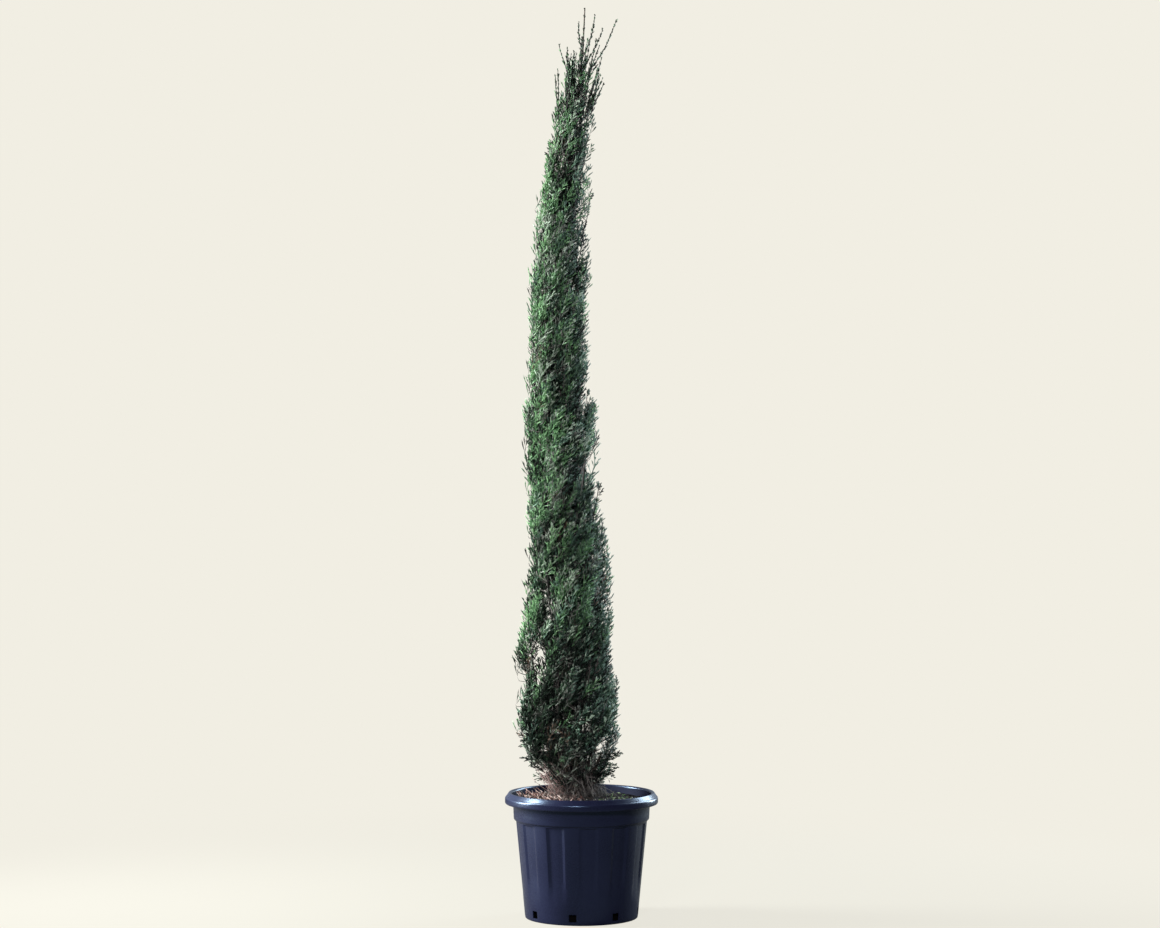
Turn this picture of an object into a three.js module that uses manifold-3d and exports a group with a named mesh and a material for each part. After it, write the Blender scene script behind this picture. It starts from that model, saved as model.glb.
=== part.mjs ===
// Italian cypress, a slim bowed column of upright foliage, growing in a black nursery pot.
// Millimetres, +Z up, +X to the right, -Y to the front. The origin is the centre of the pot's flat underside.
//
// The tree is one trunk that runs up to the leader's tip, a ring of low boughs, a thatch of dry twigs
// round its foot, rows of flame-shaped tufts that interlock round the trunk, and loose shoots at the top.
import * as THREE from "three";
import { mergeVertices } from "three/addons/utils/BufferGeometryUtils.js";
import Module from "manifold-3d";

const wasm = await Module();
wasm.setup();

const { clamp, lerp, smoothstep } = THREE.MathUtils;
const turn = 2 * Math.PI;
const clearance = 0.9; // between pieces that touch

// ---- Driving dimensions ----

const pot = {
  height: 294,
  footRadius: 133,
  shoulderRadius: 152.5, // top of the fluted body
  shoulderHeight: 226,
  neckRadius: 160.5, // just under the rim
  rimRadius: 180,
  rimHeight: 24,
  rimInnerRadius: 163,
  wall: 3,
  floor: 6,
  flutes: 12,
  fluteDepth: 2.2,
  fluteRamp: 9, // height over which a flute runs out
  sides: 48,
};
const drain = { count: 8, width: 17, height: 19, sill: 8.5, firstAngle: -99.3 };

const soil = { edgeHeight: 279, crownHeight: 285, seatRadius: 70, unevenness: 2.5, sides: 24 };

const trunk = {
  foot: soil.crownHeight + clearance,
  tip: 2140,
  footRadius: 31, // over the root flare
  flareHeight: 26,
  radius: 19,
  tipRadius: 1.4,
  sides: 10,
  rings: 26,
};

// The crown's middle line and its radius, each as a smooth line through [height, value] stations.
const crown = {
  middleX: [
    [trunk.foot, -8],
    [520, -31],
    [900, -31],
    [1320, -53],
    [1560, -47],
    [1840, -22],
    [2000, 0],
    [trunk.tip, 8],
  ],
  middleY: [
    [trunk.foot, 0],
    [900, 9],
    [1500, -9],
    [trunk.tip, 2],
  ],
  radius: [
    [300, 52],
    [345, 84],
    [400, 110],
    [500, 119],
    [640, 110],
    [900, 95],
    [1320, 74],
    [1840, 53],
    [1990, 38],
    [2060, 19],
  ],
};

const tuft = {
  foot: 326, // where the lowest row starts
  tips: [545, 760, 990, 1240, 1480, 1700, 1885, 2030],
  tipRise: 132, // the tapering top of a tuft, which stands between two tufts of the next row
  tipSharpness: 1.7,
  around: ["right", "back", "left", "front"],
  rowOffset: THREE.MathUtils.degToRad(22.5), // rows turn this far to either side of the quarters, by turns
  share: 0.94, // of the width that a tuft could fill
  squareness: 0.72, // of its cross-section: 1 is an ellipse, 0 a block
  flare: 0.07, // how far a tip stands proud
  tuckedShare: 0.7, // of the radius, where a tuft starts between two tips of the row below
  sides: 10,
  rings: 7,
};

const bough = {
  count: 8,
  rootHeight: 300,
  rootStep: 9,
  reach: 74,
  topHeight: 392,
  rootRadius: 6.5,
  tipRadius: 3,
  sides: 6,
  rings: 4,
};

const thatch = {
  around: ["front", "left", "right"],
  foot: soil.crownHeight + clearance,
  top: 334,
  radius: 62,
  room: 3, // left free round it
  sides: 10,
  rings: 5,
};

// Loose shoots above the crown. Each leaves the leader at its root height and ends at its tip.
const shoots = [
  { name: "shoot_far_right", root: 1962, tip: [83, -6, 2111] },
  { name: "shoot_right", root: 1996, tip: [50, 12, 2090] },
  { name: "shoot_near_right", root: 2020, tip: [32, -14, 2120] },
  { name: "shoot_near_left", root: 2030, tip: [-7, 10, 2106] },
  { name: "shoot_far_left", root: 1950, tip: [-53, -5, 2050] },
  { name: "shoot_back", root: 1985, tip: [2, 44, 2072] },
  { name: "shoot_front", root: 1974, tip: [14, -42, 2058] },
];
const shoot = { rootRadius: 2.2, fullRadius: 5.5, tipRadius: 1.2, sides: 6, rings: 6 };

// ---- Colours ----

const finish = (color, roughness) => new THREE.MeshStandardMaterial({ color, roughness, metalness: 0 });
const potPlastic = finish(0x1b2030, 0.35);
const pottingSoil = finish(0x2e211a, 0.95);
const bark = finish(0x5a4636, 0.9);
const greenFoliage = finish(0x2c4a2c, 0.8);
const dryFoliage = finish(0x6a5138, 0.9);

// ---- Helpers ----

// The value at z of a smooth line through [z, value] stations, with slopes taken from the neighbours.
function along(stations, z) {
  const last = stations.length - 1;
  if (z <= stations[0][0]) return stations[0][1];
  if (z >= stations[last][0]) return stations[last][1];
  const i = stations.findIndex(([station]) => z < station) - 1;
  const slope = (a, b) => (stations[b][1] - stations[a][1]) / (stations[b][0] - stations[a][0]);
  const startSlope = slope(Math.max(i - 1, 0), i + 1);
  const endSlope = slope(i, Math.min(i + 2, last));
  const [z0, v0] = stations[i];
  const [z1, v1] = stations[i + 1];
  const t = (z - z0) / (z1 - z0);
  const span = z1 - z0;
  return (
    v0 * (2 * t ** 3 - 3 * t ** 2 + 1) +
    startSlope * span * (t ** 3 - 2 * t ** 2 + t) +
    v1 * (3 * t ** 2 - 2 * t ** 3) +
    endSlope * span * (t ** 3 - t ** 2)
  );
}

// Every vertex of a geometry goes where place() sends it.
function reshape(geometry, place) {
  const position = geometry.getAttribute("position");
  const point = new THREE.Vector3();
  for (let i = 0; i < position.count; i++) {
    const [x, y, z] = place(point.fromBufferAttribute(position, i));
    position.setXYZ(i, x, y, z);
  }
  return geometry;
}

function toSolid(geometry) {
  const bare = geometry.index ? geometry.toNonIndexed() : geometry.clone();
  const position = new THREE.BufferGeometry().setAttribute("position", bare.getAttribute("position"));
  const merged = mergeVertices(position, 1e-3);
  return new wasm.Manifold(
    new wasm.Mesh({
      numProp: 3,
      vertProperties: merged.getAttribute("position").array,
      triVerts: new Uint32Array(merged.index.array),
    }),
  );
}

// The largest body of a solid, so that a cut leaves no loose slivers.
function toGeometry(solid) {
  const body = solid.decompose().reduce((a, b) => (a.volume() > b.volume() ? a : b));
  const mesh = body.getMesh();
  return new THREE.BufferGeometry()
    .setAttribute("position", new THREE.BufferAttribute(mesh.vertProperties, 3))
    .setIndex(new THREE.BufferAttribute(mesh.triVerts, 1))
    .toNonIndexed();
}

function named(name, geometry, material) {
  geometry.computeVertexNormals();
  const mesh = new THREE.Mesh(geometry, material);
  mesh.name = name;
  return mesh;
}

// A closed lathe body round +Z, from a profile of [radius, z] points.
function lathe(profile, sides) {
  const points = profile.map(([radius, z]) => new THREE.Vector2(radius, z));
  return new THREE.LatheGeometry(points, sides).rotateX(Math.PI / 2);
}

// A closed tapering limb along a curve. radiusAt(share) is its radius from root, 0, to tip, 1.
function limb(curve, radiusAt, sides, rings) {
  const frames = curve.computeFrenetFrames(rings);
  return reshape(new THREE.CylinderGeometry(1, 1, 1, sides, rings), (point) => {
    const share = point.y + 0.5;
    const ring = Math.round(share * rings);
    return curve
      .getPointAt(share)
      .addScaledVector(frames.normals[ring], point.x * radiusAt(share))
      .addScaledVector(frames.binormals[ring], -point.z * radiusAt(share))
      .toArray();
  });
}

// ---- Pot ----

const bodyRadius = (z) => lerp(pot.footRadius, pot.shoulderRadius, z / pot.shoulderHeight);
const bodyInside = (z) => bodyRadius(z) - pot.wall - pot.fluteDepth;
const neckInside = pot.neckRadius - pot.wall - 3;

// A flute is a shallow panel pressed into the wall, as wide as the land beside it.
function fluteDepthAt(angle, z) {
  const phase = (((angle / turn) * pot.flutes) % 1 + 1) % 1;
  const across = smoothstep(phase, 0.3, 0.52) - smoothstep(phase, 0.8, 0.99);
  const low = drain.sill + drain.height;
  const high = pot.shoulderHeight;
  const up = smoothstep(z, low, low + pot.fluteRamp) - smoothstep(z, high - pot.fluteRamp, high);
  return pot.fluteDepth * across * up;
}

function makePot() {
  const { height, rimRadius, rimHeight, neckRadius, shoulderHeight, shoulderRadius, floor } = pot;
  const rimFoot = height - rimHeight;
  const fluteLow = drain.sill + drain.height;
  const profile = [
    [0, 0],
    [pot.footRadius - 3, 0],
    [bodyRadius(3), 3],
    [bodyRadius(fluteLow), fluteLow],
    [bodyRadius(fluteLow + pot.fluteRamp), fluteLow + pot.fluteRamp],
    [bodyRadius(shoulderHeight - pot.fluteRamp), shoulderHeight - pot.fluteRamp],
    [shoulderRadius, shoulderHeight],
    [shoulderRadius + 4, shoulderHeight + 4],
    [neckRadius, rimFoot],
    [rimRadius - 4, rimFoot + 2],
    [rimRadius, rimFoot + 9],
    [rimRadius - 2, height - 6],
    [rimRadius - 9, height],
    [pot.rimInnerRadius, height - 3],
    [neckInside, height - rimHeight * 0.8],
    [neckInside - 4, shoulderHeight + 8],
    [bodyInside(shoulderHeight), shoulderHeight],
    [bodyInside(floor), floor],
    [0, floor],
  ];
  const body = reshape(lathe(profile, pot.sides), ({ x, y, z }) => {
    const radius = Math.hypot(x, y);
    const outside = z > 1 && z <= shoulderHeight && radius > bodyInside(z) + 1;
    const share = outside ? 1 - fluteDepthAt(Math.atan2(y, x), z) / radius : 1;
    return [x * share, y * share, z];
  });
  let solid = toSolid(body);
  for (let i = 0; i < drain.count; i++) {
    const window = new THREE.BoxGeometry(60, drain.width, drain.height)
      .translate(pot.footRadius, 0, drain.sill + drain.height / 2)
      .rotateZ(THREE.MathUtils.degToRad(drain.firstAngle) + (i * turn) / drain.count);
    solid = solid.subtract(toSolid(window));
  }
  return named("pot", toGeometry(solid), potPlastic);
}

// ---- Soil ----

function makeSoil() {
  const bottom = pot.floor + clearance;
  const { edgeHeight, crownHeight, seatRadius } = soil;
  const edge = neckInside - clearance;
  const profile = [
    [0, bottom],
    [bodyInside(bottom) - clearance, bottom],
    [bodyInside(pot.shoulderHeight) - clearance, pot.shoulderHeight],
    [neckInside - 4 - clearance, pot.shoulderHeight + 10],
    [edge - 1, edgeHeight - 12],
    [edge - 1, edgeHeight],
    [lerp(seatRadius, edge, 0.66), lerp(crownHeight, edgeHeight, 0.55)],
    [lerp(seatRadius, edge, 0.33), lerp(crownHeight, edgeHeight, 0.2)],
    [seatRadius, crownHeight],
    [0, crownHeight],
  ];
  const body = reshape(lathe(profile, soil.sides), ({ x, y, z }) => {
    const radius = Math.hypot(x, y);
    const open = z > edgeHeight - 1 && radius > seatRadius + 1 ? 1 : 0;
    return [x, y, z - open * soil.unevenness * (1 + Math.sin(x / 23 + 1.3) * Math.cos(y / 19))];
  });
  return named("soil", body, pottingSoil);
}

// ---- Trunk and boughs ----

const middle = (z) => [along(crown.middleX, z), along(crown.middleY, z)];

function trunkRadius(z) {
  const share = clamp((z - trunk.foot) / (trunk.tip - trunk.foot), 0, 1);
  const flareShare = 1 - smoothstep(z, trunk.foot, trunk.foot + trunk.flareHeight);
  const flare = (trunk.footRadius - trunk.radius) * flareShare;
  return lerp(trunk.radius, trunk.tipRadius, share ** 0.8) + flare;
}

// The trunk's sections lie level, so that its foot is a flat cut. grow swells it all round.
function trunkGeometry(grow) {
  return reshape(new THREE.CylinderGeometry(1, 1, 1, trunk.sides, trunk.rings), (point) => {
    const share = (point.y + 0.5) ** 1.5; // rings lie closer near the flare
    const z = lerp(trunk.foot - grow, trunk.tip + grow, share);
    const angle = Math.atan2(point.x, point.z);
    const low = 1 - smoothstep(z, trunk.foot, trunk.foot + 2 * trunk.flareHeight);
    const lobes = 1 + 0.1 * Math.cos(5 * angle + 0.6) * low;
    const radius = trunkRadius(z) * lobes + grow;
    const [x, y] = middle(z);
    return [x + point.z * radius, y + point.x * radius, z];
  });
}

// One low bough. It leaves the trunk, swings up, and ends inside the lowest tufts.
function boughGeometry(index, grow) {
  const angle = ((index + 0.22 * Math.sin(5 * index)) * turn) / bough.count + 0.18;
  const root = bough.rootHeight + bough.rootStep * ((index * 3) % 4);
  const reach = bough.reach * (1 + 0.14 * Math.sin(3 * index + 1));
  const [x, y] = middle(root);
  const at = (radius, z) => new THREE.Vector3(x + radius * Math.cos(angle), y + radius * Math.sin(angle), z);
  const curve = new THREE.CatmullRomCurve3([
    at(0.6 * trunk.radius, root),
    at(0.62 * reach, root + 0.36 * (bough.topHeight - root)),
    at(reach, bough.topHeight + grow),
  ]);
  const radiusAt = (share) => lerp(bough.rootRadius, bough.tipRadius, share) + grow;
  return limb(curve, radiusAt, bough.sides, bough.rings);
}

// ---- Masses of foliage ----

// A smooth swirl that makes every tuft different without letting two of them meet.
function swirl(angle, z) {
  return {
    angle: angle + 0.11 * Math.sin(2 * angle + z / 170) - 0.07 * Math.sin(angle - z / 240) + z / 2600,
    z: z + 14 * Math.sin(angle + z / 210 + 0.8) + 9 * Math.sin(2 * angle + z / 330),
  };
}

function outlineRadius(angle, z) {
  const uneven = 0.045 * Math.sin(3 * angle + z / 61) + 0.035 * Math.sin(5 * angle - z / 43 + 2);
  return along(crown.radius, z) * (1 + uneven);
}

// A tuft starts beside the trunk between two tufts of the row below, fills its quarter of the crown,
// and tapers to a tip that stands a little proud of the outline.
function tuftGeometry(row, quarter) {
  const foot = row === 0 ? tuft.foot : tuft.tips[row - 1] - tuft.tipRise;
  const footRise = row === 0 ? tuft.tipRise / 2 : tuft.tipRise;
  const tip = tuft.tips[row];
  const halfAngle = (Math.PI / tuft.around.length) * tuft.share;
  const centreAngle = (quarter * turn) / tuft.around.length + (row % 2 ? -1 : 1) * tuft.rowOffset;
  const roundness = (value) => Math.sign(value) * Math.abs(value) ** tuft.squareness;
  return reshape(new THREE.SphereGeometry(1, tuft.sides, tuft.rings), (point) => {
    const around = Math.hypot(point.x, point.z) || 1;
    const across = roundness(point.x / around);
    const outward = roundness(point.z / around);
    const share = (1 - clamp(point.y, -1, 1)) / 2;
    const flatZ = lerp(tip, foot, lerp(share, Math.acos(clamp(point.y, -1, 1)) / Math.PI, 0.6));
    const opening = clamp((flatZ - foot) / footRise, 0, 1);
    const closing = clamp((flatZ - (tip - tuft.tipRise)) / tuft.tipRise, 0, 1);
    const fullness = 1 / tuft.tipSharpness;
    const footWidth = row === 0 ? opening ** fullness : 1 - (1 - opening) ** fullness;
    const width = Math.min(footWidth, (1 - closing) ** fullness);
    const { angle, z } = swirl(centreAngle + across * halfAngle * width, flatZ);
    const outline = outlineRadius(angle, z);
    const outside = outline * lerp(tuft.tuckedShare, 1, opening ** 0.45) * (1 + tuft.flare * closing);
    const inside = lerp(trunkRadius(z) + 3, 0.86 * outside, smoothstep(closing, 0.1, 1));
    const depth = (outside - inside) / 2;
    const radius = inside + depth * (1 + outward * (width > 0 ? 1 : 0));
    const [x, y] = middle(z);
    return [x + radius * Math.cos(angle), y + radius * Math.sin(angle), z];
  });
}

// A low cushion of dry twigs against the trunk, over a third of the way round it.
function thatchGeometry(index, grow) {
  const sector = turn / thatch.around.length;
  const centreAngle = -Math.PI / 2 - index * sector;
  return reshape(new THREE.SphereGeometry(1, thatch.sides, thatch.rings), (point) => {
    const around = Math.hypot(point.x, point.z) || 1;
    const across = point.x / around;
    const width = clamp(around * 1.6, 0, 1) * (0.46 + grow / thatch.radius);
    const angle = centreAngle + across * sector * width;
    const share = (point.y + 1) / 2;
    const top = thatch.top + 6 * Math.sin(4 * centreAngle + 3 * across);
    const z = lerp(thatch.foot, top, share) + grow * (2 * share - 1);
    const uneven = 1 + 0.12 * Math.sin(3 * centreAngle + 2 * across + 1);
    const outside = thatch.radius * uneven * (1 - 0.35 * share) + grow;
    const inside = trunkRadius(z) * 1.1 + 2.5 - grow;
    const radius = lerp(inside, outside, ((around < 1e-6 ? 0 : point.z / around) + 1) / 2);
    const [x, y] = middle(z);
    return [x + radius * Math.cos(angle), y + radius * Math.sin(angle), z];
  });
}

// A loose shoot: a thin twig at its root, full of leaf further up, and a fine tip.
function shootGeometry({ root, tip }, grow) {
  const [x, y] = middle(root);
  const end = new THREE.Vector3(...tip);
  const side = new THREE.Vector3(end.x - x, end.y - y, 0).normalize();
  const start = new THREE.Vector3(x, y, root);
  const bend = start.clone().lerp(end, 0.5).addScaledVector(side, 0.07 * start.distanceTo(end));
  const radiusAt = (share) =>
    share < 0.35
      ? lerp(shoot.rootRadius, shoot.fullRadius, smoothstep(share, 0, 0.35))
      : lerp(shoot.fullRadius, shoot.tipRadius, (share - 0.35) / 0.65);
  const curve = new THREE.CatmullRomCurve3([start, bend, end]);
  return limb(curve, (share) => radiusAt(share) + grow, shoot.sides, shoot.rings);
}

// ---- The whole plant ----

const tree = new THREE.Group();
tree.add(makePot(), makeSoil(), named("trunk", trunkGeometry(0), bark));

const trunkRoom = toSolid(trunkGeometry(clearance));
let boughRoom = trunkRoom;
for (let i = 0; i < bough.count; i++) {
  const solid = toSolid(boughGeometry(i, 0)).subtract(boughRoom);
  tree.add(named(`bough_${i + 1}`, toGeometry(solid), bark));
  boughRoom = boughRoom.add(toSolid(boughGeometry(i, clearance)));
}

let footRoom = boughRoom;
thatch.around.forEach((side, i) => {
  const solid = toSolid(thatchGeometry(i, 0)).subtract(boughRoom);
  tree.add(named(`thatch_${side}`, toGeometry(solid), dryFoliage));
  footRoom = footRoom.add(toSolid(thatchGeometry(i, thatch.room)));
});

let shootRoom = trunkRoom;
for (const one of shoots) {
  const solid = toSolid(shootGeometry(one, 0)).subtract(shootRoom);
  tree.add(named(one.name, toGeometry(solid), greenFoliage));
  shootRoom = shootRoom.add(toSolid(shootGeometry(one, clearance)));
}

tuft.tips.forEach((tip, row) => {
  tuft.around.forEach((side, quarter) => {
    let solid = toSolid(tuftGeometry(row, quarter));
    if (row === 0) solid = solid.subtract(footRoom);
    if (tip > shoots[4].root) solid = solid.subtract(shootRoom);
    tree.add(named(`tuft_${row + 1}_${side}`, toGeometry(solid), greenFoliage));
  });
});

export default tree;
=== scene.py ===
# Italian cypress in a nursery pot. Metres, +Z up, +X to the right, -Y to the front.
import math
import random

import bmesh
import bpy
import numpy as np
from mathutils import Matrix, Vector, noise
from mathutils.bvhtree import BVHTree


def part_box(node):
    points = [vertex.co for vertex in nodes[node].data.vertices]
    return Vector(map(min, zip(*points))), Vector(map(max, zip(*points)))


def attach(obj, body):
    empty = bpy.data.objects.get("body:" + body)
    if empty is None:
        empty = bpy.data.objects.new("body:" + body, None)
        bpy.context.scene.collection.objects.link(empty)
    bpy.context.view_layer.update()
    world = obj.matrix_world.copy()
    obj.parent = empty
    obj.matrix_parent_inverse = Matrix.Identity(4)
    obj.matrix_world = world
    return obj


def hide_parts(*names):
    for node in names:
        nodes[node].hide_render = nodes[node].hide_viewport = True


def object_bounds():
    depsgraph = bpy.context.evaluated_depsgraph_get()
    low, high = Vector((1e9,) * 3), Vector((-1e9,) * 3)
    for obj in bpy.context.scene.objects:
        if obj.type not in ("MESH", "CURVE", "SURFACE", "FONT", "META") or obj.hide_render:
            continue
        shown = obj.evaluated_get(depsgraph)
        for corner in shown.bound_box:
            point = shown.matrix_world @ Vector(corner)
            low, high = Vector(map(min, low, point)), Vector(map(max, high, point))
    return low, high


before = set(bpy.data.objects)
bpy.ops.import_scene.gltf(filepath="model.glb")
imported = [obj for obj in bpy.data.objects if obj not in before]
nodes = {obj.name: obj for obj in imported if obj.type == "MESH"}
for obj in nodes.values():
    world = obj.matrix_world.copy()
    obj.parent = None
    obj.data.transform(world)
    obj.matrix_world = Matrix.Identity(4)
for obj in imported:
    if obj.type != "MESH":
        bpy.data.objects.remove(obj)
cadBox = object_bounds()
fullTurn = 2 * math.pi
up = np.array([0.0, 0.0, 1.0])


def unit(vectors):
    lengths = np.linalg.norm(vectors, axis=-1, keepdims=True)
    return vectors / np.maximum(lengths, 1e-9)


def blendOf(low, high, share):
    return low + (high - low) * share


def cornersOf(name):
    mesh = nodes[name].data
    corners = np.empty(len(mesh.vertices) * 3)
    mesh.vertices.foreach_get("co", corners)
    return corners.reshape(-1, 3)


def clearSelection():
    if bpy.context.mode != "OBJECT":
        bpy.ops.object.mode_set(mode="OBJECT")
    bpy.ops.object.select_all(action="DESELECT")


def pick(item):
    clearSelection()
    item.select_set(True)
    bpy.context.view_layer.objects.active = item


def disc(name, sides, radius, height=0):
    # a flat round face, the start of what is drawn upwards
    clearSelection()
    spot = (0, 0, height)
    bpy.ops.mesh.primitive_circle_add(vertices=sides, radius=radius, fill_type="NGON", location=spot)
    bpy.ops.object.transform_apply(location=True)
    bpy.context.object.name = name
    return bpy.context.object


def editAll():
    bpy.ops.object.mode_set(mode="EDIT")
    bpy.ops.mesh.select_all(action="SELECT")


def closeEdit():
    # leaves edit mode with every face turned outwards
    bpy.ops.mesh.select_all(action="SELECT")
    bpy.ops.mesh.normals_make_consistent(inside=False)
    bpy.ops.object.mode_set(mode="OBJECT")


def selectWhere(item, kind, wanted):
    # in edit mode, selects only the corners or faces whose place is wanted
    bpy.ops.mesh.select_mode(type=kind)
    bpy.ops.mesh.select_all(action="DESELECT")
    mesh = bmesh.from_edit_mesh(item.data)
    if kind == "VERT":
        for vert in mesh.verts:
            vert.select = bool(wanted(vert.co))
    else:
        for face in mesh.faces:
            face.select = bool(wanted(face.calc_center_median()))
    mesh.select_flush(True)
    bmesh.update_edit_mesh(item.data)


def applyAll(item):
    pick(item)
    for modifier in list(item.modifiers):
        bpy.ops.object.modifier_apply(modifier=modifier.name)


def wear(item, *materials):
    item.data.materials.clear()
    for material in materials:
        item.data.materials.append(material)


def place(item, slot, *replaced):
    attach(item, "root")
    if replaced:
        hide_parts(*replaced)


def meshOf(name, points, faces, shades, materials):
    # one mesh of many like shapes, as triangles; each shape's shade goes to all its faces
    mesh = bpy.data.meshes.new(name)
    mesh.vertices.add(len(points))
    mesh.vertices.foreach_set("co", np.asarray(points, np.float32).ravel())
    mesh.loops.add(faces.size)
    mesh.loops.foreach_set("vertex_index", faces.astype(np.int32).ravel())
    mesh.polygons.add(len(faces))
    mesh.polygons.foreach_set("loop_start", np.arange(0, faces.size, 3, dtype=np.int32))
    for material in materials:
        mesh.materials.append(material)
    shades = np.repeat(np.asarray(shades, np.int32), len(faces) // len(shades))
    mesh.polygons.foreach_set("material_index", shades)
    mesh.polygons.foreach_set("use_smooth", np.ones(len(faces), bool))
    mesh.update(calc_edges=True)
    item = bpy.data.objects.new(name, mesh)
    bpy.context.scene.collection.objects.link(item)
    return item


def newMaterial(name, colour, roughness, specular=0.5):
    material = bpy.data.materials.new(name)
    material.use_nodes = True
    shader = material.node_tree.nodes["Principled BSDF"]
    shader.inputs["Base Color"].default_value = (*colour, 1)
    shader.inputs["Roughness"].default_value = roughness
    shader.inputs["Specular IOR Level"].default_value = specular
    return material, shader


def plains(colours):
    # dull finishes for bits that are too small to show a grain
    return [newMaterial(name, colour, 0.85)[0] for name, colour in colours.items()]


def addNode(tree, kind, values=None, **settings):
    # a shader node with its settings, and the values of its sockets by name or number
    node = tree.nodes.new("ShaderNode" + kind)
    for title, value in settings.items():
        setattr(node, title, value)
    for socket, value in (values or {}).items():
        node.inputs[socket].default_value = value
    return node


def join(tree, *links):
    # each link runs from a node's output to another node's input
    for giver, output, taker, entry in links:
        tree.links.new(giver.outputs[output], taker.inputs[entry])


def makeMottleGroup():
    # two sizes of noise on the object's own coordinates, mixed into a colour and a height
    tree = bpy.data.node_groups.new("mottle", "ShaderNodeTree")
    sockets = [("Coordinates", "INPUT", "Vector"), ("Dark", "INPUT", "Color"), ("Light", "INPUT", "Color")]
    sockets += [(title, "INPUT", "Float") for title in ("Coarse", "Fine", "Contrast")]
    sockets += [("Color", "OUTPUT", "Color"), ("Height", "OUTPUT", "Float")]
    for title, side, kind in sockets:
        tree.interface.new_socket(title, in_out=side, socket_type="NodeSocket" + kind)
    start, end = tree.nodes.new("NodeGroupInput"), tree.nodes.new("NodeGroupOutput")
    coarse, fine = addNode(tree, "TexNoise", {"Detail": 4}), addNode(tree, "TexNoise", {"Detail": 3})
    both = addNode(tree, "Math", operation="ADD")
    centred = addNode(tree, "Math", {1: 1.0}, operation="SUBTRACT")  # the two noises together average one
    spread = addNode(tree, "Math", {2: 0.5}, operation="MULTIPLY_ADD", use_clamp=True)
    mix = addNode(tree, "Mix", data_type="RGBA")
    join(
        tree,
        (start, "Coordinates", coarse, "Vector"),
        (start, "Coarse", coarse, "Scale"),
        (start, "Coordinates", fine, "Vector"),
        (start, "Fine", fine, "Scale"),
        (coarse, "Fac", both, 0),
        (fine, "Fac", both, 1),
        (both, 0, centred, 0),
        (centred, 0, spread, 0),
        (start, "Contrast", spread, 1),
        (spread, 0, mix, "Factor"),
        (start, "Dark", mix, 6),
        (start, "Light", mix, 7),
        (mix, 2, end, "Color"),
        (spread, 0, end, "Height"),
    )
    return tree


mottle = makeMottleGroup()


def mottled(name, look):
    # a finish whose colour and bump come from the mottle group
    material, shader = newMaterial(name, look["light"], look["roughness"])
    tree = material.node_tree
    where = addNode(tree, "TexCoord")
    turned = addNode(tree, "Mapping", {"Scale": look.get("stretch", (1, 1, 1))})
    patch = addNode(tree, "Group", node_tree=mottle)
    relief = addNode(tree, "Bump", {"Strength": 1.0, "Distance": look["bump"]})
    for title in ("Coarse", "Fine", "Contrast"):
        patch.inputs[title].default_value = look[title.lower()]
    for title in ("Dark", "Light"):
        patch.inputs[title].default_value = (*look[title.lower()], 1)
    join(
        tree,
        (where, "Object", turned, "Vector"),
        (turned, "Vector", patch, "Coordinates"),
        (patch, "Color", shader, "Base Color"),
        (patch, "Height", relief, "Height"),
        (relief, "Normal", shader, "Normal"),
    )
    if "duller" in look:  # the lighter patches are also duller
        duller = addNode(tree, "Math", {1: look["duller"], 2: look["roughness"]}, operation="MULTIPLY_ADD")
        join(tree, (patch, "Height", duller, 0), (duller, 0, shader, "Roughness"))
    return material, shader


studio = {
    "distance": 6.5,
    "sideStep": -0.0035,
    "aimBelowMiddle": 0.004,
    "lens": 85.7,
    "backdrop": (0.880, 0.855, 0.768),
    "floorRadius": 40,
    "litRadius": 0.5,  # the floor is lit near the pot and fades into the backdrop further out
    "fadeRadius": 2.2,
    "nearGlow": 0.86,  # how much of the backdrop's tone the floor has beside the pot
    "floorTone": 0.37,
    "floorDim": 0.11,  # what the pot and the plant get back from the floor
    "skyColour": (0.73, 0.85, 1.0),
    "skyFront": 0.055,
    "skyBack": 0.52,
}
lamps = {
    "left": {"place": (-2.3, 0.25, 1.52), "size": (0.7, 2.4), "power": 332, "colour": (0.96, 1.0, 0.97)},
    "right": {"place": (1.95, 1.60, 1.40), "size": (0.9, 2.4), "power": 118, "colour": (0.78, 0.92, 1.0)},
    "front": {"place": (-0.8, -4.4, 2.5), "size": (0.9, 0.9), "power": 152, "colour": (1.0, 0.97, 0.99)},
}


def makeCamera():
    middle = (cadBox[0] + cadBox[1]) / 2
    spot = (studio["sideStep"], -studio["distance"], middle.z - studio["aimBelowMiddle"])
    bpy.ops.object.camera_add(location=spot, rotation=(math.pi / 2, 0, 0))
    camera = bpy.context.object
    camera.data.sensor_width = 36
    camera.data.lens = studio["lens"]
    bpy.context.scene.camera = camera


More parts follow.
